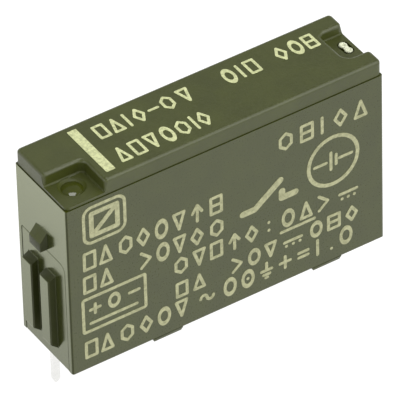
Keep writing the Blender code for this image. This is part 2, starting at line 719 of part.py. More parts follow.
def build_common_terminal():
    """Pin, strip under the floor and upright tab, stamped and bent as one piece."""
    strip_bottom = FLOOR_UNDER + TOUCH
    strip_top = strip_bottom + STRIP_THICKNESS
    terminal = pin("common_terminal", COMMON_X, strip_top)
    low = (COMMON_X - PIN_X / 2, ROW_Y - PIN_Y / 2, strip_bottom)
    join(terminal, box("common_strip", low, (TAB_X + STRIP_THICKNESS, ROW_Y + PIN_Y / 2, strip_top)))
    low = (TAB_X, -TAB_WIDTH / 2, strip_bottom)
    high = (TAB_X + STRIP_THICKNESS, ROW_Y + PIN_Y / 2, FLOOR_TOP + TAB_RISE)
    join(terminal, box("common_tab", low, high))
    hole = ((-FIT, LEAF_RIVET_RADIUS + TOUCH), (STRIP_THICKNESS + FIT, LEAF_RIVET_RADIUS + TOUCH))
    cut(terminal, rod("tab_rivet_hole", hole, (TAB_X, 0, FLEX_Z)))
    return finish(terminal, "tinned")


def rod(name, ends, place):
    """A plain round rod along X, between two (distance, radius) ends."""
    (start, radius), (end, _) = ends
    return turned(name, ((start, 0.0), (start, radius), (end, radius), (end, 0.0)), "x", place)


def build_fixed_terminal():
    """The fixed contact's plate and its pin, stamped as one piece."""
    bottom = FLOOR_TOP + TOUCH
    half = PLATE_WIDTH / 2
    plate = rounded(-half, bottom, half, PLATE_TOP, (0, 0, PLATE_RADIUS, PLATE_RADIUS))
    terminal = prism("fixed_terminal", plate, "x", FIXED_PLATE_X, FIXED_PLATE_X + PLATE_THICKNESS)
    root = bottom + FIXED_PIN_ROOT
    join(terminal, pin("fixed_pin", FIXED_X, root, PLATE_THICKNESS - TOUCH))
    radius = CONTACT_SHANK_RADIUS + TOUCH
    hole = ((-FIT, radius), (PLATE_THICKNESS + FIT, radius))
    cut(terminal, rod("plate_contact_hole", hole, (FIXED_PLATE_X, 0, CONTACT_Z)))
    return finish(terminal, "tinned")


def domed_contact(name, face_x, towards, shank):
    """A rivet contact. Its domed face is at face_x and looks towards +X (1) or -X (-1)."""
    shares = [i / CONTACT_RINGS for i in range(CONTACT_RINGS + 1)]
    profile = [(CONTACT_DOME * share**2, CONTACT_RADIUS * share) for share in shares]
    back = CONTACT_DOME + CONTACT_HEAD
    end = back + 2 * TOUCH + shank
    upset = CONTACT_UPSET_RADIUS
    profile += [(back, CONTACT_RADIUS), (back, CONTACT_SHANK_RADIUS)]
    profile += [(end, CONTACT_SHANK_RADIUS), (end, upset)]
    profile += [(end + CONTACT_UPSET, upset * RIVET_CROWN_SHARE), (end + CONTACT_UPSET, 0.0)]
    turned_profile = [(-towards * along, radius) for along, radius in profile]
    return turned(name, turned_profile, "x", (face_x, 0, CONTACT_Z))


def build_contacts():
    moving = domed_contact("moving_contact", MOVING_FACE_X, 1, LEAF_THICKNESS)
    fixed = domed_contact("fixed_contact", FIXED_FACE_X, -1, PLATE_THICKNESS)
    return finish(moving, "silver"), finish(fixed, "silver")


def build_leaf():
    """The contact spring: a flat strip that narrows to the card, with holes for its contact and its rivet."""
    bottom = FLOOR_TOP + LEAF_BOTTOM
    top = CARD_TOP + LEAF_ABOVE_CARD
    half = LEAF_WIDTH / 2
    narrow = NOSE_WIDTH / 2
    shoulder = CONTACT_Z + CONTACT_RADIUS
    outline = (
        (-half, bottom),
        (half, bottom),
        (half, shoulder),
        (narrow, shoulder + half - narrow),
        (narrow, top),
        (-narrow, top),
        (-narrow, shoulder + half - narrow),
        (-half, shoulder),
    )
    leaf = prism("moving_spring", outline, "x", LEAF_X, LEAF_RIGHT_X)
    for name, radius, z in (
        ("leaf_contact_hole", CONTACT_SHANK_RADIUS, CONTACT_Z),
        ("leaf_rivet_hole", LEAF_RIVET_RADIUS, FLEX_Z),
    ):
        hole = ((-FIT, radius + TOUCH), (LEAF_THICKNESS + FIT, radius + TOUCH))
        cut(leaf, rod(name, hole, (LEAF_X, 0, z)))
    return finish(leaf, "spring")


def build_leaf_rivet():
    """Holds the contact spring on the common terminal's tab."""
    head = LEAF_RIVET_HEAD_RADIUS
    left = LEAF_X - TOUCH
    right = TAB_X + STRIP_THICKNESS + TOUCH
    profile = (
        (left - LEAF_RIVET_HEAD, 0.0),
        (left - LEAF_RIVET_HEAD, head * RIVET_CROWN_SHARE),
        (left, head),
        (left, LEAF_RIVET_RADIUS),
        (right, LEAF_RIVET_RADIUS),
        (right, head),
        (right + LEAF_RIVET_HEAD, head * RIVET_CROWN_SHARE),
        (right + LEAF_RIVET_HEAD, 0.0),
    )
    return finish(turned("spring_rivet", profile, "x", (0, 0, FLEX_Z), steps=SMALL_ROUND_STEPS), "tinned")


def build_core():
    """The iron core: pole face, round-cornered bar and the tail that is staked into the yoke."""
    pole = centred(POLE_WIDTH, POLE_HEIGHT, POLE_RADIUS, middle=(0.0, CORE_Z))
    core = prism("core", pole, "x", POLE_X, POLE_X + POLE_THICKNESS)
    bar = centred(CORE_WIDTH, CORE_HEIGHT, CORE_RADIUS, middle=(0.0, CORE_Z))
    join(core, prism("core_bar", bar, "x", POLE_X + POLE_THICKNESS / 2, COIL_RIGHT))
    tail = centred(CORE_WIDTH, TAIL_HEIGHT, CORE_RADIUS, middle=(0.0, CORE_Z))
    join(core, prism("core_tail", tail, "x", COIL_RIGHT - FLANGE_THICKNESS, UPRIGHT_X + YOKE_THICKNESS))
    return finish(core, "iron")


def build_yoke():
    """The L-shaped yoke: a strip under the coil and an upright behind it."""
    right = UPRIGHT_X + YOKE_THICKNESS
    bend = YOKE_THICKNESS
    outline = [(HINGE_X + TOUCH, YOKE_UPPER), (HINGE_X + TOUCH, YOKE_UNDER)]
    outline += arc(right - bend, YOKE_UNDER + bend, bend, 270, 360, CORNER_STEPS)
    outline += [(right, YOKE_TOP), (UPRIGHT_X, YOKE_TOP), (UPRIGHT_X, YOKE_UPPER)]
    yoke = prism("yoke", outline, "y", -YOKE_WIDTH / 2, YOKE_WIDTH / 2)
    hole = centred(CORE_WIDTH + 2 * TOUCH, TAIL_HEIGHT + 2 * TOUCH, CORE_RADIUS, middle=(0.0, CORE_Z))
    cut(yoke, prism("yoke_tail_hole", hole, "x", UPRIGHT_X - FIT, right + FIT))
    shank = HINGE_RIVET_RADIUS + TOUCH
    cut(yoke, upright_rod("yoke_rivet_hole", shank, YOKE_UNDER - FIT, YOKE_UPPER + FIT))
    return finish(yoke, "iron")


def upright_rod(name, radius, bottom, top):
    """A plain round rod along Z at the hinge spring's rivet."""
    profile = ((bottom, 0.0), (bottom, radius), (top, radius), (top, 0.0))
    return turned(name, profile, "z", (HINGE_RIVET_X, HINGE_RIVET_Y, 0), steps=SMALL_ROUND_STEPS)


def build_bobbin():
    """The coil's bobbin: a barrel between two flanges, whose slots guide the card."""
    barrel_width = CORE_WIDTH + 2 * (TOUCH + BARREL_WALL)
    barrel_height = CORE_HEIGHT + 2 * (TOUCH + BARREL_WALL)
    barrel = centred(barrel_width, barrel_height, BARREL_RADIUS, middle=(0.0, CORE_Z))
    bobbin = prism("bobbin", barrel, "x", COIL_LEFT + FLANGE_THICKNESS / 2, COIL_RIGHT - FLANGE_THICKNESS / 2)
    bottom = YOKE_UPPER + TOUCH
    top = SPIGOT_BOTTOM - TOUCH
    half = FLANGE_WIDTH / 2
    slot = CARD_WIDTH / 2 + CARD_GUIDE
    slot_bottom = CARD_BOTTOM - TOUCH
    outline = (
        (-half, bottom),
        (half, bottom),
        (half, top),
        (slot, top),
        (slot, slot_bottom),
        (-slot, slot_bottom),
        (-slot, top),
        (-half, top),
    )
    for name, x in (("flange_left", COIL_LEFT), ("flange_right", COIL_RIGHT - FLANGE_THICKNESS)):
        join(bobbin, prism(name, outline, "x", x, x + FLANGE_THICKNESS))
    bore = centred(CORE_WIDTH + 2 * TOUCH, CORE_HEIGHT + 2 * TOUCH, CORE_RADIUS, middle=(0.0, CORE_Z))
    cut(bobbin, prism("bobbin_bore", bore, "x", COIL_LEFT - FIT, COIL_RIGHT + FIT))
    return finish(bobbin, "bobbin")


def coil_sleeve(name, inner, outer, kind):
    """A tube round the barrel, from the (width, height, radius) of its bore and of its outside."""
    left = COIL_LEFT + FLANGE_THICKNESS + TOUCH
    right = COIL_RIGHT - FLANGE_THICKNESS - TOUCH
    steps = CORNER_STEPS + 2
    skin, bore = [centred(*sizes, steps=steps, middle=(0.0, CORE_Z)) for sizes in (outer, inner)]
    sleeve = prism(name, skin, "x", left, right)
    cut(sleeve, prism(name + "_bore", bore, "x", left - FIT, right + FIT))
    smooth(sleeve)
    return finish(sleeve, kind)


def build_coil():
    inner = (COIL_WIDTH - 2 * WINDING_BUILD, COIL_HEIGHT - 2 * WINDING_BUILD, BARREL_RADIUS)
    outer = (COIL_WIDTH, COIL_HEIGHT, COIL_RADIUS)
    winding = coil_sleeve("winding", inner, outer, "copper")
    grown = (COIL_WIDTH + 2 * TOUCH, COIL_HEIGHT + 2 * TOUCH, COIL_RADIUS + TOUCH)
    wrap = TOUCH + TAPE_THICKNESS
    wrapped = (COIL_WIDTH + 2 * wrap, COIL_HEIGHT + 2 * wrap, COIL_RADIUS + wrap)
    tape = coil_sleeve("winding_tape", grown, wrapped, "tape")
    return winding, tape


def build_armature():
    """A flat iron plate with a narrow tongue, leaning away from the pole about its lower edge."""
    half = YOKE_WIDTH / 2
    tongue = TONGUE_WIDTH / 2
    foot_z = HINGE_Z + ARMATURE_THICKNESS * LEAN
    outline = (
        (-half, foot_z),
        (half, foot_z),
        (half, ARMATURE_SHOULDER),
        (tongue, ARMATURE_SHOULDER),
        (tongue, TONGUE_TOP),
        (-tongue, TONGUE_TOP),
        (-tongue, ARMATURE_SHOULDER),
        (-half, ARMATURE_SHOULDER),
    )
    armature = prism("armature", outline, "x", HINGE_X - ARMATURE_THICKNESS, HINGE_X)
    set_origin(armature, (HINGE_X, 0, HINGE_Z))
    armature.data.transform(Matrix.Rotation(-ARMATURE_TRAVEL, 4, "Y"))
    return finish(armature, "iron")


def build_hinge_spring():
    """A bent strip that holds the armature's foot against the yoke and pushes its back."""
    top = YOKE_UNDER - TOUCH
    bottom = top - HINGE_SPRING_THICKNESS
    back_x = HINGE_X - ARMATURE_THICKNESS - TOUCH
    bend = HINGE_SPRING_BEND
    outer = bend + HINGE_SPRING_THICKNESS
    centre_x = back_x + bend
    centre_z = top + bend
    rise = HINGE_SPRING_RISE
    lean = rise * LEAN + TOUCH
    tip = top + bend + rise
    outline = [(back_x + HINGE_SPRING_RUN, top)]
    outline += arc(centre_x, centre_z, bend, 270, 180, CORNER_STEPS)
    outline += [(back_x - lean, tip), (back_x - lean - HINGE_SPRING_THICKNESS, tip)]
    outline += arc(centre_x, centre_z, outer, 180, 270, CORNER_STEPS)
    outline += [(back_x + HINGE_SPRING_RUN, bottom)]
    spring = prism("hinge_spring", outline, "y", -HINGE_SPRING_WIDTH / 2, HINGE_SPRING_WIDTH / 2)
    cut(spring, upright_rod("spring_rivet_hole", HINGE_RIVET_RADIUS + TOUCH, bottom - FIT, top + FIT))
    return finish(spring, "spring")


def build_hinge_rivet():
    strip_bottom = YOKE_UNDER - 2 * TOUCH - HINGE_SPRING_THICKNESS
    head = HINGE_RIVET_HEAD_RADIUS
    profile = (
        (strip_bottom - HINGE_RIVET_HEAD, 0.0),
        (strip_bottom - HINGE_RIVET_HEAD, head * RIVET_CROWN_SHARE),
        (strip_bottom, head),
        (strip_bottom, HINGE_RIVET_RADIUS),
        (YOKE_UPPER, HINGE_RIVET_RADIUS),
        (YOKE_UPPER, 0.0),
    )
    place = (HINGE_RIVET_X, HINGE_RIVET_Y, 0)
    return finish(turned("hinge_spring_rivet", profile, "z", place, steps=SMALL_ROUND_STEPS), "tinned")


def build_card():
    """A flat bar over the coil. Its fork holds the armature's tongue and its nose meets the spring."""
    left = HINGE_X - (CARD_BOTTOM - HINGE_Z) * LEAN + TOUCH
    right = LEAF_X - TOUCH
    half = CARD_WIDTH / 2
    nose = NOSE_WIDTH / 2
    slot = TONGUE_WIDTH / 2 + FIT
    body_right = right - NOSE_LENGTH
    outline = [
        (left - FORK_REACH, -half),
        (body_right - (half - nose), -half),
        (body_right, -nose),
    ]
    tip = nose - NOSE_CHAMFER
    outline += [(right - NOSE_CHAMFER, -nose), (right, -tip), (right, tip), (right - NOSE_CHAMFER, nose)]
    outline += [
        (body_right, nose),
        (body_right - (half - nose), half),
        (left - FORK_REACH, half),
        (left - FORK_REACH, slot),
        (left, slot),
        (left, -slot),
        (left - FORK_REACH, -slot),
    ]
    return finish(prism("card", outline, "z", CARD_BOTTOM, CARD_TOP), "card")


def build_leads():
    """The wire from each end of the winding, down past the yoke and round its pin."""
    base_z = FLOOR_TOP + 2 * LEAD_RADIUS + TOUCH
    reach = math.hypot(PIN_X / 2, PIN_Y / 2) + LEAD_RADIUS + TOUCH
    side_y = COIL_WIDTH / 2 + TOUCH + TAPE_THICKNESS + LEAD_GAP + LEAD_RADIUS
    for i, x in enumerate(COIL_PIN_XS):
        route = []
        for step in range(LEAD_TURNS * LEAD_TURN_POINTS + 1):
            turns = step / LEAD_TURN_POINTS
            angle = math.tau * turns + math.pi / 2
            across = (reach * math.cos(angle), reach * math.sin(angle))
            route.append((x + across[0], ROW_Y + across[1], base_z + LEAD_PITCH * turns))
        end_x, end_y, end_z = route[-1]
        rise_x = COIL_LEFT + FLANGE_THICKNESS + LEAD_FROM_FLANGE + LEAD_SPACING * i
        route.append(((end_x + rise_x) / 2, (end_y + side_y) / 2, end_z + 2 * LEAD_RADIUS))
        route.append((rise_x, side_y, YOKE_UNDER))
        route.append((rise_x, side_y, COIL_BOTTOM + LEAD_RISE))
        curve = bpy.data.curves.new(f"coil_lead_{i + 1}", "CURVE")
        curve.dimensions = "3D"
        curve.bevel_depth = LEAD_RADIUS
        curve.bevel_resolution = 1
        curve.use_fill_caps = True
        spline = curve.splines.new("POLY")
        spline.points.add(len(route) - 1)
        for point, spot in zip(spline.points, route):
            point.co = (*spot, 1.0)
        lead = bpy.data.objects.new(f"coil_lead_{i + 1}", curve)
        bpy.context.scene.collection.objects.link(lead)
        finish(lead, "copper")


def place_moving_pieces(card, leaf, contact):
    """Puts each moving piece's origin on its axis and hangs the contact on its spring."""
    set_origin(card, (0, 0, NOSE_Z))
    set_origin(leaf, (LEAF_X + LEAF_THICKNESS / 2, 0, FLEX_Z))
    hang(contact, leaf)


def main():
    clear_scene()
    bpy.context.scene.unit_settings.system = "METRIC"
    build_case()
    build_lid()
    build_vent_seal()
    build_base()
    build_resin()
    build_coil_pins()
    build_common_terminal()
    build_fixed_terminal()
    build_leaf_rivet()
    build_core()
    build_yoke()
    build_bobbin()
    build_coil()
    build_hinge_spring()
    build_hinge_rivet()
    build_leads()
    build_armature()
    card = build_card()
    leaf = build_leaf()
    moving_contact, _ = build_contacts()
    place_moving_pieces(card, leaf, moving_contact)


main()
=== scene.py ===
"""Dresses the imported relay.

The case, the lid and the base are drawn again with softened edges, the vent gets its melted plug, the near
side and the lid get their print, and everything gets its finish. A stage with floor, light and camera
follows.
"""

import math

import bmesh
import bpy
from mathutils import Matrix, Vector, noise


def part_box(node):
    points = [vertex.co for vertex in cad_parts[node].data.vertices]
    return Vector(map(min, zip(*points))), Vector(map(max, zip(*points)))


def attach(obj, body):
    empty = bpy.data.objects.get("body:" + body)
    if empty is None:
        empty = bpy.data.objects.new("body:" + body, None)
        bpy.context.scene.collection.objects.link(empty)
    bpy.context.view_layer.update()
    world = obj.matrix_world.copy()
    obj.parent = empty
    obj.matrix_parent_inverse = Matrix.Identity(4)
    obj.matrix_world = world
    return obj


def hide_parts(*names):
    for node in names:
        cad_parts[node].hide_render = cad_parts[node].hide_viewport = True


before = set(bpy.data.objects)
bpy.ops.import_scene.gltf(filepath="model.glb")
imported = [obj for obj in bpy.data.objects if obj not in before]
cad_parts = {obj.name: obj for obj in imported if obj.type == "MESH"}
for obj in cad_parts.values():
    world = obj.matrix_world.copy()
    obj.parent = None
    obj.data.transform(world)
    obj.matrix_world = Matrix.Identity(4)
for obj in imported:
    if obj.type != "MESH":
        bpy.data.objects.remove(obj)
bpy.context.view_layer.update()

bl_info = {
    "name": "Slim Power Relay",
    "version": (1, 0, 0),
    "blender": (4, 5, 0),
    "location": "View3D > Sidebar > Relay",
    "description": "Builds the looks of a slim printed circuit board relay round its CAD frame",
    "category": "Object",
}

# Pieces are built in millimetres and brought to metres at the end.
MM = 0.001
# Two heights or widths closer than this are the same.
SAME = 0.001


def box_mm(node):
    """The lower and upper corner of a CAD node in millimetres."""
    return [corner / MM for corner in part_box(node)]


CASE_LOW, CASE_HIGH = box_mm("case")
LID_LOW, LID_HIGH = box_mm("lid")
SEAL_LOW, SEAL_HIGH = box_mm("vent_seal")
SEAL_MIDDLE = (SEAL_LOW + SEAL_HIGH) / 2
PIN_TIP_Z = box_mm("coil_pin_1")[0].z

# The ribbed end wall: what stands out of it above this height is the lug, and the ribs lie below
END_X = -CASE_HIGH.x
LUG_LOW_Z = 6.9

# The lid above the seam, in the CAD's sizes
SEAM = 0.04
LID_BOTTOM = CASE_HIGH.z + SEAM
LID_CORNER_RADIUS = 0.25

# Recess in the near corner at the ribbed end
CORNER_LENGTH = 2.44
CORNER_WIDTH = 2.2
CORNER_DEPTH = 0.8
CORNER_X = LID_LOW.x + CORNER_LENGTH
CORNER_Y = LID_LOW.y + CORNER_WIDTH
CORNER_FLOOR = LID_HIGH.z - CORNER_DEPTH
RECESS_RADIUS = 0.35

# Recess in the plain end, whose near inner corner is rounder
END_RECESS_LENGTH = 1.52
END_RECESS_HALF = 1.3
END_RECESS_DEPTH = 0.65
END_RECESS_X = LID_HIGH.x - END_RECESS_LENGTH
END_FLOOR = LID_HIGH.z - END_RECESS_DEPTH
NEAR_RECESS_RADIUS = 0.6

# The corner recess's round dimple, and the low dome in it that the mould's gate left
DIMPLE_FROM_END = 1.3
DIMPLE_FROM_SIDE = 1.43
DIMPLE_PLACE = Vector((END_X + DIMPLE_FROM_END, CASE_LOW.y + DIMPLE_FROM_SIDE, CORNER_FLOOR))
DIMPLE_RADIUS = 0.78
DIMPLE_DEPTH = 0.2
PIP_RADIUS = 0.75
PIP_HEIGHT = 0.3

# The vent's well, a slot with round ends under the seal
WELL_RADIUS = 0.32
WELL_SPREAD = 0.5
WELL_DEPTH = 0.15

# Edges folded by more than this are softened, and flats within this of one plane are one face
FOLD_ANGLE = math.radians(30)
FLAT_ANGLE = math.radians(0.4)


def linear(code):
    """A #RRGGBB colour as linear RGBA."""
    channels = [int(code[i:i + 2], 16) / 255 for i in (1, 3, 5)]
    return (*[c / 12.92 if c <= 0.04045 else ((c + 0.055) / 1.055) ** 2.4 for c in channels], 1.0)


def colour_setting(name, code, description):
    return bpy.props.FloatVectorProperty(
        name=name, description=description, default=linear(code), subtype="COLOR", size=4, min=0.0, max=1.0
    )


def length_setting(name, millimetres, description):
    return bpy.props.FloatProperty(
        name=name,
        description=description,
        default=millimetres * MM,
        unit="LENGTH",
        subtype="DISTANCE",
        min=0.0,
    )


class RelaySizes(bpy.types.PropertyGroup):
    lid_radius: length_setting("Lid edge radius", 0.2, "Rounding of the lid's upper edges and recesses")
    edge_radius: length_setting("Edge radius", 0.05, "Rounding of the case's and the base's edges")
    foot_radius: length_setting("Foot radius", 0.1, "Fillet at the foot of the lid's recess walls")
    ink_height: length_setting("Ink height", 0.012, "How far the pad print stands on the plastic")
    side_stroke: length_setting("Side stroke", 0.19, "Width of the lines printed on the near side")
    lid_stroke: length_setting("Lid stroke", 0.165, "Width of the lines printed on the lid")


class RelayColours(bpy.types.PropertyGroup):
    housing: colour_setting("Housing", "#3F4510", "Olive plastic of the case, the lid and the base")
    side_ink: colour_setting("Side ink", "#C6C69B", "Pale ink on the near side")
    lid_ink: colour_setting("Lid ink", "#DCE1AA", "Pale ink on the lid")
    seal: colour_setting("Vent seal", "#E4E8CB", "Melted plug of the vent")
    floor: colour_setting("Floor", "#FFFFFF", "Paper under the relay")


def sizes(name):
    """One of the lengths above, in millimetres."""
    return getattr(bpy.context.scene.relay_sizes, name) / MM


def colours(name):
    """One of the colours above, as linear RGBA."""
    return tuple(getattr(bpy.context.scene.relay_colours, name))


# Finishes


def add(tree, kind, settings=None, links=None):
    """Adds a node with its settings, socket values and links by name or place, and returns its outputs."""
    node = tree.nodes.new(kind)
    for key, value in (settings or {}).items():
        if isinstance(key, str) and hasattr(node, key):
            setattr(node, key, value)
        else:
            node.inputs[key].default_value = value
    for key, source in (links or {}).items():
        tree.links.new(source, node.inputs[key])
    return node.outputs


def per_mm(size):
    """Scale of a pattern on Object coordinates for a feature of this many millimetres."""
    return 1.0 / (size * MM)


def shade(colour, factor):
    """A colour made darker or lighter."""
    return (*[min(1.0, channel * factor) for channel in colour[:3]], 1.0)


def mixing(low, high):
    """Settings of a Mix node between two colours, its sockets 6 and 7. Its output 2 is their mix."""
    return {"data_type": "RGBA", 6: low, 7: high}


def mapping(low, high, to_low, to_high):
    """Settings of a Map Range node."""
    return {"From Min": low, "From Max": high, "To Min": to_low, "To Max": to_high}


def finish(name, colour, look, pattern):
    """A material named for a finish, with its shader's settings and the pattern that varies them."""
    made = bpy.data.materials.new(name)
    made.use_nodes = True
    made.diffuse_color = colour
    tree = made.node_tree
    shader = tree.nodes["Principled BSDF"]
    for key, value in {"Base Color": colour, **look}.items():
        shader.inputs[key].default_value = value
    place = add(tree, "ShaderNodeTexCoord")["Object"]
    for key, source in pattern(tree, place, colour, look["Roughness"]).items():
        tree.links.new(source, shader.inputs[key])
    return made


def grained(grain, spread, relief, stretch=(1.0, 1.0, 1.0)):
    """Moulded plastic: a fine grain in tone, gloss and height, over softer clouds fourteen times as large."""

    def pattern(tree, place, colour, roughness):
        place = add(tree, "ShaderNodeMapping", {"Scale": stretch}, {"Vector": place})["Vector"]
        fine, soft = [
            add(
                tree,
                "ShaderNodeTexNoise",
                {"Scale": per_mm(size), "Detail": 3.0, "Roughness": 0.6},
                {"Vector": place},
            )["Fac"]
            for size in (grain, grain * 14)
        ]
        both = add(tree, "ShaderNodeMath", {"operation": "MULTIPLY_ADD", 1: 0.5}, {0: fine, 2: soft})["Value"]
        tone = add(tree, "ShaderNodeMapRange", mapping(0.6, 0.9, 0.0, 1.0), {"Value": both})["Result"]
        shades = mixing(shade(colour, 1 - spread), shade(colour, 1 + spread))
        gloss = mapping(0.3, 0.7, roughness * 0.85, roughness * 1.15)
        bump = {"Strength": relief, "Distance": 0.02 * MM}
        return {
            "Base Color": add(tree, "ShaderNodeMix", shades, {0: tone})[2],
            "Roughness": add(tree, "ShaderNodeMapRange", gloss, {"Value": fine})["Result"],
            "Normal": add(tree, "ShaderNodeBump", bump, {"Height": fine})["Normal"],
        }

    return pattern


def fading(pattern, foot, top):
    """A pattern on a surface whose gloss dies away from a height of top down to foot, in millimetres: painted
    shade in the reflection, darker towards the bottom.
    """

    def faded(tree, place, colour, roughness):
        height = add(tree, "ShaderNodeSeparateXYZ", None, {0: place})["Z"]
        limits = mapping(foot * MM, top * MM, 0.0, 1.0)
        gloss = add(tree, "ShaderNodeMapRange", limits, {"Value": height})["Result"]
        return {**pattern(tree, place, colour, roughness), "Coat Weight": gloss}

    return faded


def drawn(grain, relief):
    """Drawn or rolled metal: faint lines along X in tone, gloss and height."""

    def pattern(tree, place, colour, roughness):
        place = add(tree, "ShaderNodeMapping", {"Scale": (0.12, 1.0, 1.0)}, {"Vector": place})["Vector"]
        settings = {"Scale": per_mm(grain), "Detail": 4.0, "Roughness": 0.65}
        lines = add(tree, "ShaderNodeTexNoise", settings, {"Vector": place})["Fac"]
        shades = mixing(shade(colour, 0.9), shade(colour, 1.05))
        gloss = mapping(0.3, 0.7, roughness * 0.75, roughness * 1.25)
        bump = {"Strength": relief, "Distance": 0.01 * MM}
        return {
            "Base Color": add(tree, "ShaderNodeMix", shades, {0: lines})[2],
            "Roughness": add(tree, "ShaderNodeMapRange", gloss, {"Value": lines})["Result"],
            "Normal": add(tree, "ShaderNodeBump", bump, {"Height": lines})["Normal"],
        }

    return pattern


def wound(turn):
    """Turns of enamelled wire side by side along X. A wave at scale 1 repeats 20 times."""

    def pattern(tree, place, colour, roughness):
        settings = {
            "wave_type": "BANDS",
            "bands_direction": "X",
            "Scale": per_mm(turn) / 20,
            "Distortion": 0.3,
            "Detail": 1.0,
        }
        turns = add(tree, "ShaderNodeTexWave", settings, {"Vector": place})["Fac"]
        # painted shade: the wire darkens to 0.45 of its colour in the grooves between turns, where the bump
        # sinks
        shades = mixing(shade(colour, 0.45), shade(colour, 1.1))
        bump = {"Strength": 0.6, "Distance": 0.03 * MM}
        return {
            "Base Color": add(tree, "ShaderNodeMix", shades, {0: turns})[2],
            "Normal": add(tree, "ShaderNodeBump", bump, {"Height": turns})["Normal"],
        }

    return pattern


def printed(tree, place, colour, roughness):
    """Pad-printing ink: matt, and thin in small patches, where the plastic greys it."""
    settings = {"Scale": per_mm(0.22), "Detail": 4.0, "Roughness": 0.7}
    patches = add(tree, "ShaderNodeTexNoise", settings, {"Vector": place})["Fac"]
    cover = add(tree, "ShaderNodeMapRange", mapping(0.3, 0.6, 0.55, 1.0), {"Value": patches})["Result"]
    return {"Base Color": add(tree, "ShaderNodeMix", mixing(colours("housing"), colour), {0: cover})[2]}


# Glass-filled PBT out of one mould: each finish by its name, with its tone against the housing's colour, its
# gloss and its grain
HOUSING_FINISHES = {
    # Sides, eroded in the mould: an even grey haze over the green, from light that the texture scatters
    "eroded_olive_pbt": (1.0, {"Roughness": 0.3}, grained(0.1, 0.07, 0.12)),
    # End wall, polished in the mould: mirrors the paper at a low angle, so that it looks pale. Its green is
    # painted shade, darkened to 0.6 of the housing's
    "polished_olive_pbt": (
        0.6,
        {
            "Roughness": 0.2,
            "Specular IOR Level": 0.8,
            "Specular Tint": linear("#F6FFC8"),
            "Coat Tint": linear("#FAFFDC"),
            "Coat Roughness": 0.15,
            "Coat IOR": 1.5,
        },
        # painted shade: the end wall's reflection fades towards its foot
        fading(grained(0.12, 0.08, 0.05, (1.0, 1.0, 0.15)), -2.0, 12.0),
    ),
    # Walls of the lid's recesses and the lug's ramp: a deep green with little shine
    "dull_olive_pbt": (1.0, {"Roughness": 0.5, "Specular IOR Level": 0.3}, grained(0.1, 0.1, 0.2)),
    # Sides and front of the lug, and the ribs' tops and sides: painted shade, the same plastic darkened to
    # 0.6 of its tone, nearly black green where little light falls
    "dull_dark_pbt": (0.6, {"Roughness": 0.5, "Specular IOR Level": 0.27}, grained(0.1, 0.1, 0.2)),
    # Lid: broad soft highlights on its rounded edges, and a deep green where nothing bright is mirrored
    "satin_olive_pbt": (1.0, {"Roughness": 0.4}, grained(0.14, 0.1, 0.3)),
    # Dome in the dimple: one bright glint
    "glossy_olive_pbt": (1.0, {"Roughness": 0.08}, grained(0.14, 0.08, 0.05)),
}
SIDE_FINISHES = ("eroded_olive_pbt", "polished_olive_pbt", "dull_olive_pbt", "dull_dark_pbt")
LID_FINISHES = ("satin_olive_pbt", "glossy_olive_pbt", "dull_olive_pbt")


def housing_finish(name):
    """One of the housing's finishes, made on its first use."""
    if name not in bpy.data.materials:
        tone, look, pattern = HOUSING_FINISHES[name]
        finish(name, shade(colours("housing"), tone), {"IOR": 1.6, **look}, pattern)
    return bpy.data.materials[name]


# Meshes


def cad_copy(node):
    """A bmesh of a CAD node in millimetres, with its loose triangles joined into whole faces."""
    form = bmesh.new()
    form.from_mesh(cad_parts[node].data)
    bmesh.ops.scale(form, vec=(1 / MM,) * 3, verts=form.verts)
    bmesh.ops.remove_doubles(form, verts=form.verts, dist=SAME / 2)
    bmesh.ops.dissolve_degenerate(form, edges=form.edges, dist=SAME / 2)
    join_flats(form)
    return form


def join_flats(form):
    """Joins faces that lie in one plane."""
    bmesh.ops.dissolve_limit(form, angle_limit=FLAT_ANGLE, verts=form.verts, edges=form.edges, delimit=set())


def bevel(form, geometry, radius, segments=2, affect="EDGES"):
    """Rounds edges, or the corners of a flat outline."""
    bmesh.ops.bevel(
        form,
        geom=geometry,
        offset=radius,
        segments=segments,
        profile=0.5,
        affect=affect,
        material=-1,
        clamp_overlap=True,
    )


def soften(form, radius, segments, wanted):
    """Bevels the folded edges that a test picks by their middle."""
    folded = [
        edge for edge in form.edges
        if len(edge.link_faces) == 2
        and edge.calc_face_angle(0.0) > FOLD_ANGLE
        and wanted((edge.verts[0].co + edge.verts[1].co) / 2)
    ]
    bevel(form, folded, radius, segments)


def slab(corners, low, high):
    """A solid slab from an outline of (x, y, corner radius)."""
    form = bmesh.new()
    points = [form.verts.new((x, y, low)) for x, y, _ in corners]
    form.faces.new(points)
    for point, (_, _, radius) in zip(points, corners):
        if radius:
            bevel(form, [point], radius, 5, "VERTICES")
    rise(form, high - low)
    return form


def rise(form, height):
    """Extrudes a flat form upwards into a solid."""
    raised = bmesh.ops.extrude_face_region(form, geom=list(form.faces))["geom"]
    verts = [item for item in raised if isinstance(item, bmesh.types.BMVert)]
    bmesh.ops.translate(form, vec=(0, 0, height), verts=verts)
    bmesh.ops.recalc_face_normals(form, faces=form.faces)


def slice_at(form, height, **cleared):
    """Slices a form at a height and clears the inner side, below, or the outer one, above."""
    geometry = form.verts[:] + form.edges[:] + form.faces[:]
    return bmesh.ops.bisect_plane(
        form, geom=geometry, plane_co=(0, 0, height), plane_no=(0, 0, 1), **cleared
    )["geom_cut"]


def ball(centre, radius, height, around=48, up=24):
    """A ball squashed to a height."""
    form = bmesh.new()
    squash = Matrix.Translation(centre) @ Matrix.Diagonal((radius, radius, height, 1.0))
    bmesh.ops.create_uvsphere(form, u_segments=around, v_segments=up, radius=1.0, matrix=squash)
    return form


def mesh_of(form):
    """A form as a mesh. The form is freed."""
    mesh = bpy.data.meshes.new("form")
    form.to_mesh(mesh)
    form.free()
    return mesh


def merge(form, *others):
    """Adds other forms to one."""
    for other in others:
        mesh = mesh_of(other)
        form.from_mesh(mesh)
        bpy.data.meshes.remove(mesh)
    return form


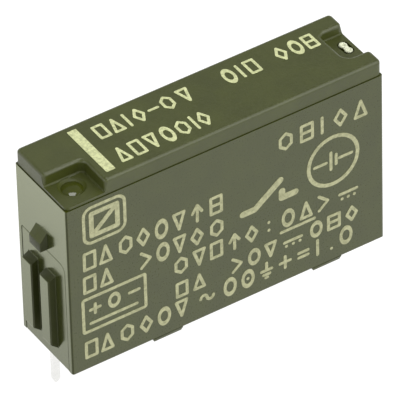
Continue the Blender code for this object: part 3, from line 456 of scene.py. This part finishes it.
def shaped(form, *modifiers):
    """A form after modifiers of (kind, settings)."""
    carrier = bpy.data.objects.new("carrier", mesh_of(form))
    bpy.context.scene.collection.objects.link(carrier)
    for kind, settings in modifiers:
        modifier = carrier.modifiers.new(kind, kind)
        for key, value in settings.items():
            setattr(modifier, key, value)
    result = bmesh.new()
    result.from_mesh(carrier.evaluated_get(bpy.context.evaluated_depsgraph_get()).to_mesh())
    bpy.data.objects.remove(carrier, do_unlink=True)
    return result


def cut(form, cutter):
    """A form less another."""
    tool = bpy.data.objects.new("tool", mesh_of(cutter))
    bpy.context.scene.collection.objects.link(tool)
    result = shaped(form, ("BOOLEAN", {"operation": "DIFFERENCE", "solver": "EXACT", "object": tool}))
    bpy.data.objects.remove(tool, do_unlink=True)
    return result


def piece(name, form, body, materials, nodes=(), crease=30):
    """Brings a form to metres and makes it a piece that rides on its body and may stand for CAD nodes."""
    bmesh.ops.scale(form, vec=(MM,) * 3, verts=form.verts)
    mesh = mesh_of(form)
    mesh.name = name
    made = bpy.data.objects.new(name, mesh)
    bpy.context.scene.collection.objects.link(made)
    for material in materials:
        mesh.materials.append(material)
    if crease:
        mesh.shade_smooth()
        mesh.set_sharp_from_angle(angle=math.radians(crease))
        weights = made.modifiers.new("flat_faces", "WEIGHTED_NORMAL")
        weights.keep_sharp = True
        weights.weight = 100
    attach(made, body)
    if nodes:
        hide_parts(*nodes)


def housing_piece(name, form, finishes, node):
    """A piece that stands for a node of the housing, in the housing's finishes."""
    piece(name, form, "housing", [housing_finish(item) for item in finishes], (node,))


# Housing


def paint_end(form):
    """Polishes the end wall and the ribs' fronts. The lug's ramp is dull, and the other faces that stand out
    (the lug's front and sides, the ribs' tops and sides) get painted shade: a darker copy of the plastic.
    """
    for face in form.faces:
        middle = face.calc_center_median()
        if middle.x < END_X + 0.06:
            on_lug = middle.x < END_X - 0.01 and middle.z > LUG_LOW_Z
            if face.normal.x < -0.9 and not on_lug:
                kind = "polished_olive_pbt"
            elif face.normal.z > 0.3 and on_lug:
                kind = "dull_olive_pbt"
            else:
                # painted shade: a darker copy of the plastic on what stands out of the end wall
                kind = "dull_dark_pbt"
            face.material_index = SIDE_FINISHES.index(kind)


def on_skin(middle, high):
    """Whether a point lies on the outer sides of a node with this upper corner."""
    return abs(abs(middle.y) - high.y) < SAME or abs(abs(middle.x) - high.x) < SAME


class RELAY_OT_case(bpy.types.Operator):
    """The case with softened rims, window and lug, and its polished end wall"""

    bl_idname = "relay.case"
    bl_label = "Case"

    def execute(self, context):
        form = cad_copy("case")
        radius = sizes("edge_radius")
        soften(form, radius, 2, lambda middle: middle.x < END_X - 0.01)
        soften(form, radius, 2, lambda middle: on_skin(middle, CASE_HIGH))
        paint_end(form)
        housing_piece("case_shell", form, SIDE_FINISHES, "case")
        return {"FINISHED"}


class RELAY_OT_base(bpy.types.Operator):
    """The base with softened ribs and feet"""

    bl_idname = "relay.base"
    bl_label = "Base"

    def execute(self, context):
        form = cad_copy("base")
        radius = sizes("edge_radius")
        soften(form, radius, 2, lambda middle: middle.x < END_X + SAME)
        soften(form, radius, 2, lambda middle: middle.z < CASE_LOW.z - 0.05)
        paint_end(form)
        housing_piece("base_moulding", form, SIDE_FINISHES, "base")
        return {"FINISHED"}


def lid_block():
    """The lid above the seam as a block with its two recesses, all still sharp but for the corners."""
    x, y, top = LID_HIGH
    around = LID_CORNER_RADIUS
    # The cutters of the recesses reach this far past the block
    past = 1.0
    form = slab([(-x, -y, around), (x, -y, around), (x, y, around), (-x, y, around)], LID_BOTTOM, top)
    corner_recess = [
        (-x - past, -y - past, 0),
        (CORNER_X, -y - past, 0),
        (CORNER_X, CORNER_Y, RECESS_RADIUS),
        (-x - past, CORNER_Y, 0),
    ]
    end_recess = [
        (x + past, -END_RECESS_HALF, 0),
        (x + past, END_RECESS_HALF, 0),
        (END_RECESS_X, END_RECESS_HALF, RECESS_RADIUS),
        (END_RECESS_X, -END_RECESS_HALF, NEAR_RECESS_RADIUS),
    ]
    for outline, floor in ((corner_recess, CORNER_FLOOR), (end_recess, END_FLOOR)):
        form = cut(form, slab(outline, floor, top + past))
    bmesh.ops.remove_doubles(form, verts=form.verts, dist=SAME)
    join_flats(form)
    return form


def round_lid(form):
    """Rounds the corners where recesses meet the lid's sides, the feet of their walls and the upper edges."""
    x, y, top = LID_HIGH
    ends = ((-x, CORNER_Y), (CORNER_X, -y), (x, -END_RECESS_HALF), (x, END_RECESS_HALF))
    upright = [
        edge for edge in form.edges
        if abs(edge.verts[0].co.z - edge.verts[1].co.z) > 0.3
        and any((edge.verts[0].co.xy - Vector(end)).length < 0.01 for end in ends)
    ]
    bevel(form, upright, LID_CORNER_RADIUS, 4)
    feet = [
        edge for edge in form.edges
        if edge.is_manifold and not edge.is_convex and all(on_floor(vert.co) for vert in edge.verts)
    ]
    bevel(form, feet, sizes("foot_radius"), 4)
    soften(form, sizes("lid_radius"), 5, lambda middle: middle.z > top - SAME)
    soften(form, sizes("lid_radius"), 5, lambda middle: on_floor(middle) and on_skin(middle, LID_HIGH))


def on_floor(point):
    """Whether a point lies at the height of a recess's floor."""
    return any(abs(point.z - floor) < SAME for floor in (CORNER_FLOOR, END_FLOOR))


def vent_well():
    """Cutter of the vent's well, a slot with round ends across the width."""
    x, y = SEAL_MIDDLE.xy
    side, end = WELL_RADIUS, WELL_RADIUS + WELL_SPREAD / 2
    # A little under half the slot's width, so that the corners' arcs don't meet
    around = side * 0.99
    corners = [(x - side, y - end), (x + side, y - end), (x + side, y + end), (x - side, y + end)]
    return slab([(*corner, around) for corner in corners], END_FLOOR - WELL_DEPTH, END_FLOOR + WELL_DEPTH)


def paint_recesses(form):
    """Dulls the recesses' walls. Their floors stay satin, as the rest of the lid."""
    x, y, top = LID_HIGH
    wall_top = top - sizes("lid_radius")
    for face in form.faces:
        middle = face.calc_center_median()
        in_corner = -x < middle.x < CORNER_X + 0.01 and -y < middle.y < CORNER_Y + 0.01
        at_end = END_RECESS_X - 0.01 < middle.x < x and abs(middle.y) < END_RECESS_HALF + 0.01
        if (in_corner or at_end) and middle.z < wall_top and face.normal.z < 0.95:
            face.material_index = LID_FINISHES.index("dull_olive_pbt")


def gate_pip():
    """The low dome that the mould's gate left in the dimple."""
    form = ball(DIMPLE_PLACE - Vector((0, 0, PIP_HEIGHT)), PIP_RADIUS, PIP_HEIGHT)
    slice_at(form, CORNER_FLOOR - PIP_HEIGHT, clear_inner=True)
    for face in form.faces:
        face.material_index = LID_FINISHES.index("glossy_olive_pbt")
    return form


def spigot():
    """What the CAD's lid has below its upper part, closed at the top."""
    form = cad_copy("lid")
    sliced = slice_at(form, LID_BOTTOM, clear_outer=True)
    rim = [item for item in sliced if isinstance(item, bmesh.types.BMEdge)]
    bmesh.ops.triangle_fill(form, edges=rim, use_beauty=True, use_dissolve=False)
    return form


class RELAY_OT_lid(bpy.types.Operator):
    """The lid with rounded edges, its two recesses, the dimple with its dome and the vent's well"""

    bl_idname = "relay.lid"
    bl_label = "Lid"

    def execute(self, context):
        form = lid_block()
        round_lid(form)
        form = cut(cut(form, ball(DIMPLE_PLACE, DIMPLE_RADIUS, DIMPLE_DEPTH)), vent_well())
        paint_recesses(form)
        housing_piece("lid_shell", merge(form, gate_pip(), spigot()), LID_FINISHES, "lid")
        return {"FINISHED"}


class RELAY_OT_seal(bpy.types.Operator):
    """The vent's melted plug: two lobes run together, a little uneven"""

    bl_idname = "relay.seal"
    bl_label = "Vent Seal"

    def execute(self, context):
        half = (SEAL_HIGH - SEAL_LOW) / 2
        # The near and the far lobe lie askew across the width, with a smaller one between them
        askew = Vector((-0.02, half.y - half.x, 0.0))
        form = bmesh.new()
        for side, size, lift in ((-1, 1.0, 0.0), (1, 1.08, 0.02), (0, 0.78, -0.03)):
            place = SEAL_MIDDLE + askew * side + Vector((0, 0, lift - half.z * 0.2))
            merge(form, ball(place, half.x * size * 0.95, half.z * 1.1, 24, 16))
        form = shaped(
            form,
            ("REMESH", {"mode": "VOXEL", "voxel_size": 0.022}),
            ("SMOOTH", {"factor": 0.5, "iterations": 6}),
        )
        # Waves of about 0.2 and 0.07 mm, and a hollow in each lobe's top
        for vert in form.verts:
            wave = noise.noise(vert.co * 5.0) * 0.022 + noise.noise(vert.co * 14.0) * 0.008
            vert.co += vert.normal * wave
            for side in (-1, 1):
                away = (vert.co.xy - (SEAL_MIDDLE + askew * side).xy).length
                if vert.co.z > SEAL_MIDDLE.z:
                    vert.co.z -= 0.17 * math.exp(-(away / 0.15) ** 2)
            vert.co.z = max(vert.co.z, SEAL_LOW.z)
        plug = finish(
            # Waxy thermoplastic that has melted and set again: pale, with soft highlights
            "remelted_vent_plastic",
            colours("seal"),
            {"IOR": 1.5, "Roughness": 0.3},
            grained(0.12, 0.06, 0.2),
        )
        piece("vent_plug", form, "housing", (plug,), ("vent_seal",), crease=60)
        return {"FINISHED"}


# Print. No sign is a letter: each is a plain shape or a circuit symbol, drawn in a cell of 1 by 1.

SIGNS = {
    "box": [((0, 0), (1, 0), (1, 1), (0, 1), (0, 0))],
    "gem": [((0.5, 0), (1, 0.5), (0.5, 1), (0, 0.5), (0.5, 0))],
    "peak": [((0, 0), (1, 0), (0.5, 1), (0, 0))],
    "dip": [((0, 1), (0.5, 0), (1, 1), (0, 1))],
    "hex": [((0.5, 0), (1, 0.25), (1, 0.75), (0.5, 1), (0, 0.75), (0, 0.25), (0.5, 0))],
    "cell": [((0, 0), (1, 0), (1, 1), (0, 1), (0, 0)), ((0, 0.5), (1, 0.5))],
    "coil": [((0, 0), (1, 0), (1, 1), (0, 1), (0, 0)), ((0.1, 0.1), (0.9, 0.9))],
    "arrow": [((0.5, 0), (0.5, 1)), ((0.05, 0.55), (0.5, 1), (0.95, 0.55))],
    "point": [((0.1, 0), (0.95, 0.5), (0.1, 1))],
    "earth": [
        ((0.5, 1), (0.5, 0.5)),
        ((0, 0.5), (1, 0.5)),
        ((0.2, 0.22), (0.8, 0.22)),
        ((0.42, 0), (0.58, 0)),
    ],
    "battery": [((0.2, 0), (0.2, 1)), ((0.8, 0.22), (0.8, 0.78))],
    "plus": [((0, 0.5), (1, 0.5)), ((0.5, 0.12), (0.5, 0.88))],
    "minus": [((0, 0.5), (1, 0.5))],
    "equals": [((0, 0.34), (1, 0.34)), ((0, 0.66), (1, 0.66))],
    "dot": [((0.5, 0), (0.5, 0.01))],
    "pair": [((0.5, 0.22), (0.5, 0.23)), ((0.5, 0.77), (0.5, 0.78))],
    "stroke": [((0.5, 0), (0.5, 1))],
}

# A line this long prints as a dot
DOT = 0.001


class Sheet:
    """Printed marks drawn flat in millimetres, as (across, up) of the printed face."""

    def __init__(self, stroke):
        self.form = bmesh.new()
        self.stroke = stroke
        self.height = sizes("ink_height")
        self.count = 0

    def press(self, part):
        """Adds a flat part. Neighbours differ a little in height, so that no two faces share a plane."""
        self.count += 1
        share = self.count * 0.618 % 1
        rise(part, self.height * (1 + 0.2 * share))
        merge(self.form, part)

    def bar(self, start, end, width=None):
        """A stroke with round ends."""
        width = width or self.stroke
        start, end = Vector(start), Vector(end)
        along = end - start
        place = Matrix.Translation((*((start + end) / 2), 0))
        turn = Matrix.Rotation(math.atan2(along.y, along.x), 4, "Z")
        size = Matrix.Diagonal(((along.length + width) / 2, width / 2, 1, 1))
        part = bmesh.new()
        corners = bmesh.ops.create_grid(
            part, x_segments=1, y_segments=1, size=1, matrix=place @ turn @ size
        )["verts"]
        # A little under half the width, so that the corners' arcs don't meet
        bevel(part, corners, width * 0.499, 3, "VERTICES")
        self.press(part)

    def dot(self, x, y, width=None):
        """A round dot."""
        self.bar((x, y), (x + DOT, y), width)

    def path(self, points, width=None):
        """Strokes from point to point."""
        for start, end in zip(points, points[1:]):
            self.bar(start, end, width)

    def ring(self, centre, radii, width=None):
        """An ellipse's outline, turned from a short line."""
        width = (width or self.stroke) / 2
        part = bmesh.new()
        ends = [part.verts.new((1 + side * width / radii[0], 0, 0)) for side in (-1, 1)]
        line = part.edges.new(ends)
        bmesh.ops.spin(
            part,
            geom=ends + [line],
            axis=(0, 0, 1),
            cent=(0, 0, 0),
            angle=2 * math.pi,
            steps=32,
            use_merge=True,
        )
        stretch = Matrix.Translation((*centre, 0)) @ Matrix.Diagonal((*radii, 1, 1))
        bmesh.ops.transform(part, matrix=stretch, verts=part.verts)
        self.press(part)

    def block(self, low, high, radius):
        """A filled rectangle with slightly round corners."""
        (x0, y0), (x1, y1) = low, high
        part = bmesh.new()
        part.faces.new([part.verts.new((x, y, 0)) for x, y in ((x0, y0), (x1, y0), (x1, y1), (x0, y1))])
        bevel(part, list(part.verts), radius, 2, "VERTICES")
        self.press(part)

    def arc(self, centre, radius, start, end, steps=5):
        """Strokes along an arc, from one angle to another in degrees."""
        x, y = centre
        turns = [math.radians(start + (end - start) * step / steps) for step in range(steps + 1)]
        self.path([(x + radius * math.cos(turn), y + radius * math.sin(turn)) for turn in turns])

    def frame(self, low, high, radius):
        """A frame with round corners."""
        (x0, y0), (x1, y1) = low, high
        left, right, bottom, top = x0 + radius, x1 - radius, y0 + radius, y1 - radius
        self.bar((left, y0), (right, y0))
        self.bar((x1, bottom), (x1, top))
        self.bar((right, y1), (left, y1))
        self.bar((x0, top), (x0, bottom))
        for x, y, start in ((right, top, 0), (left, top, 90), (left, bottom, 180), (right, bottom, 270)):
            self.arc((x, y), radius, start, start + 90)

    def sign(self, kind, left, low, width, height, stroke=None):
        """One sign in a cell, given by the cell's lower left corner and size."""
        stroke = stroke or self.stroke
        x, y = left + stroke / 2, low + stroke / 2
        w, h = max(width - stroke, DOT), height - stroke
        if kind in ("ring", "target"):
            self.ring((x + w / 2, y + h / 2), (w / 2, h / 2), stroke)
            if kind == "target":
                self.path([(x + w / 2, y + h / 2), (x + w / 2, y + h / 2 + DOT)], stroke)
        elif kind == "wave":
            self.arc((x + w / 4, y + h / 2), w / 4, 180, 0)
            self.arc((x + w * 3 / 4, y + h / 2), w / 4, 180, 360)
        else:
            for line in SIGNS[kind]:
                self.path([(x + u * w, y + v * h) for u, v in line], stroke)

    def row(self, low, height, width, signs):
        """Signs of one row as (kind, left) or (kind, left, own width)."""
        for kind, left, *own in signs:
            self.sign(kind, left, low, own[0] if own else width, height)

    def lay(self, name, place, ink):
        """Puts the sheet on the housing as a piece."""
        bmesh.ops.transform(self.form, matrix=place, verts=self.form.verts)
        bmesh.ops.recalc_face_normals(self.form, faces=self.form.faces)
        material = finish(name + "_ink", ink, {"IOR": 1.5, "Roughness": 0.55}, printed)
        piece(name, self.form, "housing", (material,), crease=0)


class RELAY_OT_side_print(bpy.types.Operator):
    """The near side's print: rows of plain signs, two frames, a heavy switch symbol and a ring"""

    bl_idname = "relay.side_print"
    bl_label = "Side Print"

    def execute(self, context):
        sheet = Sheet(sizes("side_stroke"))
        # Coil symbol in a rounded frame
        sheet.frame((-8.95, 8.75), (-6.4, 11.15), 0.5)
        sheet.sign("coil", -8.62, 9.07, 1.9, 1.78, 0.29)
        # Rows beside and under it
        sheet.row(6.97, 1.27, 0.85, (
            ("box", -9.1), ("peak", -8.1), ("hex", -6.85), ("gem", -5.75), ("ring", -4.6), ("dip", -3.5),
            ("arrow", -2.35), ("cell", -1.15),
        ))
        sheet.row(5.4, 1.2, 0.85, (
            ("box", -9.15), ("peak", -8.1), ("point", -5.65), ("ring", -4.55), ("dip", -3.5), ("gem", -2.4),
            ("hex", -1.15),
        ))
        # Frame with three signs over a line
        sheet.frame((-9.2, 2.75), (-5.3, 5.02), 0.1)
        sheet.row(3.68, 1.0, 0.8, (("plus", -8.85), ("ring", -7.65), ("minus", -6.4)))
        sheet.bar((-8.75, 3.25), (-5.85, 3.25))
        # Upper row on the right, with a line under two signs and dots under the last
        sheet.row(3.92, 1.17, 0.85, (
            ("hex", -3.45), ("dip", -2.3), ("box", -1.2), ("arrow", -0.05), ("gem", 1.05),
            ("pair", 2.45, 0.25), ("ring", 3.4), ("peak", 4.55), ("point", 5.65), ("minus", 7.05, 1.3),
        ))
        sheet.bar((3.35, 3.67), (5.5, 3.67))
        for x in (7.3, 7.7, 8.1):
            sheet.dot(x, 4.15, 0.2)
        # Lower row on the right
        sheet.row(2.3, 1.08, 0.82, (
            ("box", -3.42), ("peak", -2.32), ("point", 0.08), ("ring", 1.2), ("dip", 2.25),
            ("minus", 3.45, 1.3), ("ring", 5.2), ("cell", 6.3, 0.9), ("gem", 7.5, 0.82),
        ))
        for x in (3.67, 4.12, 4.55):
            sheet.dot(x, 2.56, 0.2)
        # Row along the foot
        sheet.row(0.9, 1.2, 0.85, (
            ("box", -9.2), ("peak", -8.2), ("hex", -6.95), ("gem", -5.75), ("ring", -4.6), ("dip", -3.5),
            ("wave", -1.95, 1.0), ("ring", -0.4), ("target", 0.75), ("earth", 1.95), ("plus", 3.15),
            ("equals", 4.35, 0.8), ("stroke", 5.55, 0.25), ("dot", 6.45, 0.25), ("ring", 7.1),
        ))
        # Heavy symbol of an open switch
        for points in (
            ((0.95, 6.1), (1.7, 6.1), (3.35, 7.35)),
            ((3.45, 6.1), (4.3, 6.1)),
            ((3.45, 6.1), (3.45, 6.55)),
        ):
            sheet.path(points, 0.42)
        # Ring with a battery symbol between its leads
        sheet.ring((6.75, 7.12), (1.58, 1.62), 0.24)
        sheet.row(6.45, 1.35, 0.75, (("battery", 6.4),))
        sheet.bar((5.55, 7.12), (6.3, 7.12))
        sheet.bar((7.15, 7.12), (7.95, 7.12))
        # Row of five under the seam
        sheet.row(9.25, 1.22, 0.9, (
            ("hex", 3.3), ("cell", 4.65), ("stroke", 5.95, 0.25), ("gem", 6.8), ("peak", 8.1),
        ))
        near_side = Matrix.Translation((0, CASE_LOW.y, 0)) @ Matrix.Rotation(math.pi / 2, 4, "X")
        sheet.lay("side_print", near_side, colours("side_ink"))
        return {"FINISHED"}


class RELAY_OT_lid_print(bpy.types.Operator):
    """The lid's print: a stripe and two rows of plain signs"""

    bl_idname = "relay.lid_print"
    bl_label = "Lid Print"

    def execute(self, context):
        sheet = Sheet(sizes("lid_stroke"))
        sheet.block((-7.06, -1.93), (-6.5, 1.98), 0.04)
        sheet.row(0.45, 1.18, 0.72, (
            ("box", -5.85), ("peak", -4.95), ("stroke", -4.0, 0.22), ("gem", -3.5), ("minus", -2.6),
            ("hex", -1.7), ("dip", -0.6, 0.75), ("ring", 2.2), ("stroke", 3.15, 0.22), ("box", 3.65),
            ("gem", 5.5), ("ring", 6.45), ("cell", 7.35),
        ))
        sheet.row(-1.75, 1.22, 0.72, (
            ("peak", -5.95), ("box", -5.0), ("dip", -4.05), ("ring", -3.1), ("hex", -2.15),
            ("stroke", -1.2, 0.22), ("gem", -0.85),
        ))
        sheet.lay("lid_print", Matrix.Translation((0, 0, LID_HIGH.z)), colours("lid_ink"))
        return {"FINISHED"}


# Finishes of the CAD nodes that stay

METAL = {"Metallic": 1.0}
# Each finish by its name, with its colour, its look, its pattern and the nodes that have it
INNER_FINISHES = {
    # Hot-dipped tin: bright and a little wavy
    "tinned_copper": (
        "#EDEDEA",
        {**METAL, "Roughness": 0.25},
        drawn(0.2, 0.1),
        (
            "coil_pin_1",
            "coil_pin_2",
            "common_terminal",
            "fixed_terminal",
            "spring_rivet",
            "hinge_spring_rivet",
        ),
    ),
    # Soft iron under thin zinc: dull grey
    "zinc_plated_iron": (
        "#A9A8A4",
        {**METAL, "Roughness": 0.38},
        drawn(0.15, 0.12),
        ("armature", "core", "yoke"),
    ),
    # Rolled strip: warm, with lines along it
    "rolled_phosphor_bronze": (
        "#C99A66",
        {**METAL, "Roughness": 0.28},
        drawn(0.06, 0.1),
        ("hinge_spring", "moving_spring"),
    ),
    # Pressed rivet heads: white metal
    "silver_alloy": (
        "#E4E2DC",
        {**METAL, "Roughness": 0.22},
        drawn(0.1, 0.08),
        ("moving_contact", "fixed_contact"),
    ),
    # Enamelled wire of 0.07 mm, drawn at 0.14 mm so that its turns show
    "enamelled_copper_wire": (
        "#B5642E",
        {**METAL, "Roughness": 0.3, "Coat Weight": 0.6, "Coat Roughness": 0.12},
        wound(0.14),
        ("winding", "coil_lead_1", "coil_lead_2"),
    ),
    # Unpigmented mouldings: warm white, dull
    "cream_moulded_pbt": ("#CFCBB8", {"Roughness": 0.45}, grained(0.12, 0.04, 0.1), ("bobbin",)),
    "ivory_moulded_lcp": ("#E0DCC8", {"Roughness": 0.5}, grained(0.15, 0.03, 0.1), ("card",)),
    # Clear amber film with a shine of its own
    "amber_polyester_film": (
        "#D8B446",
        {"Roughness": 0.35, "Coat Weight": 0.5, "Coat Roughness": 0.1},
        grained(0.4, 0.05, 0.05),
        ("winding_tape",),
    ),
    # Poured resin: dark, glossy and slightly uneven
    "poured_black_epoxy": (
        "#2B2C22",
        {"Roughness": 0.3, "Coat Weight": 0.6, "Coat Roughness": 0.15},
        grained(0.5, 0.12, 0.3),
        ("sealing_resin",),
    ),
}


class RELAY_OT_inner_finishes(bpy.types.Operator):
    """Finishes of the pins, the resin and everything inside the housing"""

    bl_idname = "relay.inner_finishes"
    bl_label = "Inner Finishes"

    def execute(self, context):
        for name, (code, look, pattern, nodes) in INNER_FINISHES.items():
            material = finish(name, linear(code), look, pattern)
            for node in nodes:
                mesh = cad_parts[node].data
                mesh.materials.clear()
                mesh.materials.append(material)
        return {"FINISHED"}


# Stage

# Lamps as (name, place, size) in metres and their power in watts
LAMPS = (
    ("key_light", (0.22, -0.42, 0.42), 0.7, 3.3),
    ("top_light", (0.023, 0.037, 0.498), 0.22, 0.7),
    ("end_light", (-0.5, 0.02, 0.16), 0.34, 0.6),
    ("back_light", (0.02, 0.51, 0.19), 0.2, 0.35),
)
LAMP_TARGET = Vector((0, 0, 6 * MM))
FLOOR_HALF = 1.5

# The camera as fitted to the photo, in metres and degrees, with a lens in millimetres
CAMERA_PLACE = (-0.148374, -0.236031, 0.241999)
CAMERA_TURNS = (49.7224, 1.2607, -33.1965)
CAMERA_LENS = 615.46
SENSOR_WIDTH = 36.0

# The world's light, and the heights of a ray's direction between which the white turns to the ceiling
WORLD_LIGHT = 0.3
CEILING_START = 0.42
CEILING_END = 0.6
WHITE = linear("#FFFFFF")
CEILING = linear("#8C8C88")


def area_light(name, place, size, power):
    """A square soft light that faces the relay's middle."""
    light = bpy.data.lights.new(name, "AREA")
    light.size = size
    light.energy = power
    lamp = bpy.data.objects.new(name, light)
    lamp.location = place
    lamp.rotation_euler = (LAMP_TARGET - Vector(place)).to_track_quat("-Z", "Y").to_euler()
    bpy.context.scene.collection.objects.link(lamp)


def seen_rays(tree):
    """1 for camera, glossy and transmission rays, 0 for the rays that light the scene."""
    rays = add(tree, "ShaderNodeLightPath")
    seen = rays["Is Camera Ray"]
    for kind in ("Is Glossy Ray", "Is Transmission Ray"):
        seen = add(tree, "ShaderNodeMath", {"operation": "MAXIMUM"}, {0: seen, 1: rays[kind]})["Value"]
    return seen


def white_floor():
    """Paper that is seen as white and keeps a faint shadow."""
    made = bpy.data.materials.new("white_paper_floor")
    made.use_nodes = True
    tree = made.node_tree
    tree.nodes.clear()
    colour = colours("floor")
    paper = add(tree, "ShaderNodeBsdfDiffuse", {"Color": shade(colour, 0.6)})["BSDF"]
    faint = add(tree, "ShaderNodeBsdfDiffuse", {"Color": shade(colour, 0.2)})["BSDF"]
    glow = add(tree, "ShaderNodeEmission", {"Color": colour, "Strength": 0.94})["Emission"]
    seen = add(tree, "ShaderNodeAddShader", None, {0: faint, 1: glow})["Shader"]
    mixed = add(tree, "ShaderNodeMixShader", None, {0: seen_rays(tree), 1: paper, 2: seen})["Shader"]
    add(tree, "ShaderNodeOutputMaterial", None, {"Surface": mixed})
    return made


def studio_world():
    """A plain pale light. The camera and gloss see white surroundings under a grey ceiling."""
    world = bpy.data.worlds.new("studio")
    world.use_nodes = True
    tree = world.node_tree
    tree.nodes.clear()
    direction = add(tree, "ShaderNodeTexCoord")["Generated"]
    height = add(tree, "ShaderNodeSeparateXYZ", None, {0: direction})["Z"]
    limits = mapping(CEILING_START, CEILING_END, 0.0, 1.0)
    share = add(tree, "ShaderNodeMapRange", limits, {"Value": height})["Result"]
    around = add(tree, "ShaderNodeMix", mixing(WHITE, CEILING), {0: share})[2]
    seen = add(tree, "ShaderNodeBackground", {"Strength": 1.0}, {"Color": around})["Background"]
    light = add(tree, "ShaderNodeBackground", {"Color": WHITE, "Strength": WORLD_LIGHT})["Background"]
    mixed = add(tree, "ShaderNodeMixShader", None, {0: seen_rays(tree), 1: light, 2: seen})["Shader"]
    add(tree, "ShaderNodeOutputWorld", None, {"Surface": mixed})
    return world


class RELAY_OT_stage(bpy.types.Operator):
    """Floor, soft studio light, white surroundings and the camera"""

    bl_idname = "relay.stage"
    bl_label = "Stage"

    def execute(self, context):
        scene = context.scene
        form = bmesh.new()
        under_pins = Matrix.Translation((0, 0, PIN_TIP_Z * MM))
        bmesh.ops.create_grid(form, x_segments=1, y_segments=1, size=FLOOR_HALF, matrix=under_pins)
        floor = bpy.data.objects.new("floor", mesh_of(form))
        floor.data.materials.append(white_floor())
        scene.collection.objects.link(floor)

        for lamp in LAMPS:
            area_light(*lamp)
        scene.world = studio_world()
        scene.view_settings.view_transform = "Standard"

        camera = bpy.data.cameras.new("camera")
        camera.sensor_width = SENSOR_WIDTH
        camera.lens = CAMERA_LENS
        camera.clip_start = 0.01
        camera.clip_end = 20.0
        eye = bpy.data.objects.new("camera", camera)
        eye.location = CAMERA_PLACE
        eye.rotation_euler = [math.radians(turn) for turn in CAMERA_TURNS]
        scene.collection.objects.link(eye)
        scene.camera = eye
        return {"FINISHED"}


STEPS = (
    RELAY_OT_case,
    RELAY_OT_base,
    RELAY_OT_lid,
    RELAY_OT_seal,
    RELAY_OT_side_print,
    RELAY_OT_lid_print,
    RELAY_OT_inner_finishes,
    RELAY_OT_stage,
)


class RELAY_PT_panel(bpy.types.Panel):
    """Settings and steps of the relay"""

    bl_label = "Slim Power Relay"
    bl_idname = "RELAY_PT_panel"
    bl_space_type = "VIEW_3D"
    bl_region_type = "UI"
    bl_category = "Relay"

    def draw(self, context):
        for group in (context.scene.relay_sizes, context.scene.relay_colours):
            for setting in group.__annotations__:
                self.layout.prop(group, setting)
        for step in STEPS:
            self.layout.operator(step.bl_idname)


CLASSES = (RelaySizes, RelayColours, *STEPS, RELAY_PT_panel)


def register():
    for item in CLASSES:
        bpy.utils.register_class(item)
    bpy.types.Scene.relay_sizes = bpy.props.PointerProperty(type=RelaySizes)
    bpy.types.Scene.relay_colours = bpy.props.PointerProperty(type=RelayColours)


def unregister():
    del bpy.types.Scene.relay_colours
    del bpy.types.Scene.relay_sizes
    for item in reversed(CLASSES):
        bpy.utils.unregister_class(item)


def main():
    register()
    bpy.ops.relay.case()
    bpy.ops.relay.base()
    bpy.ops.relay.lid()
    bpy.ops.relay.seal()
    bpy.ops.relay.side_print()
    bpy.ops.relay.lid_print()
    bpy.ops.relay.inner_finishes()
    bpy.ops.relay.stage()


if __name__ == "__main__":
    main()
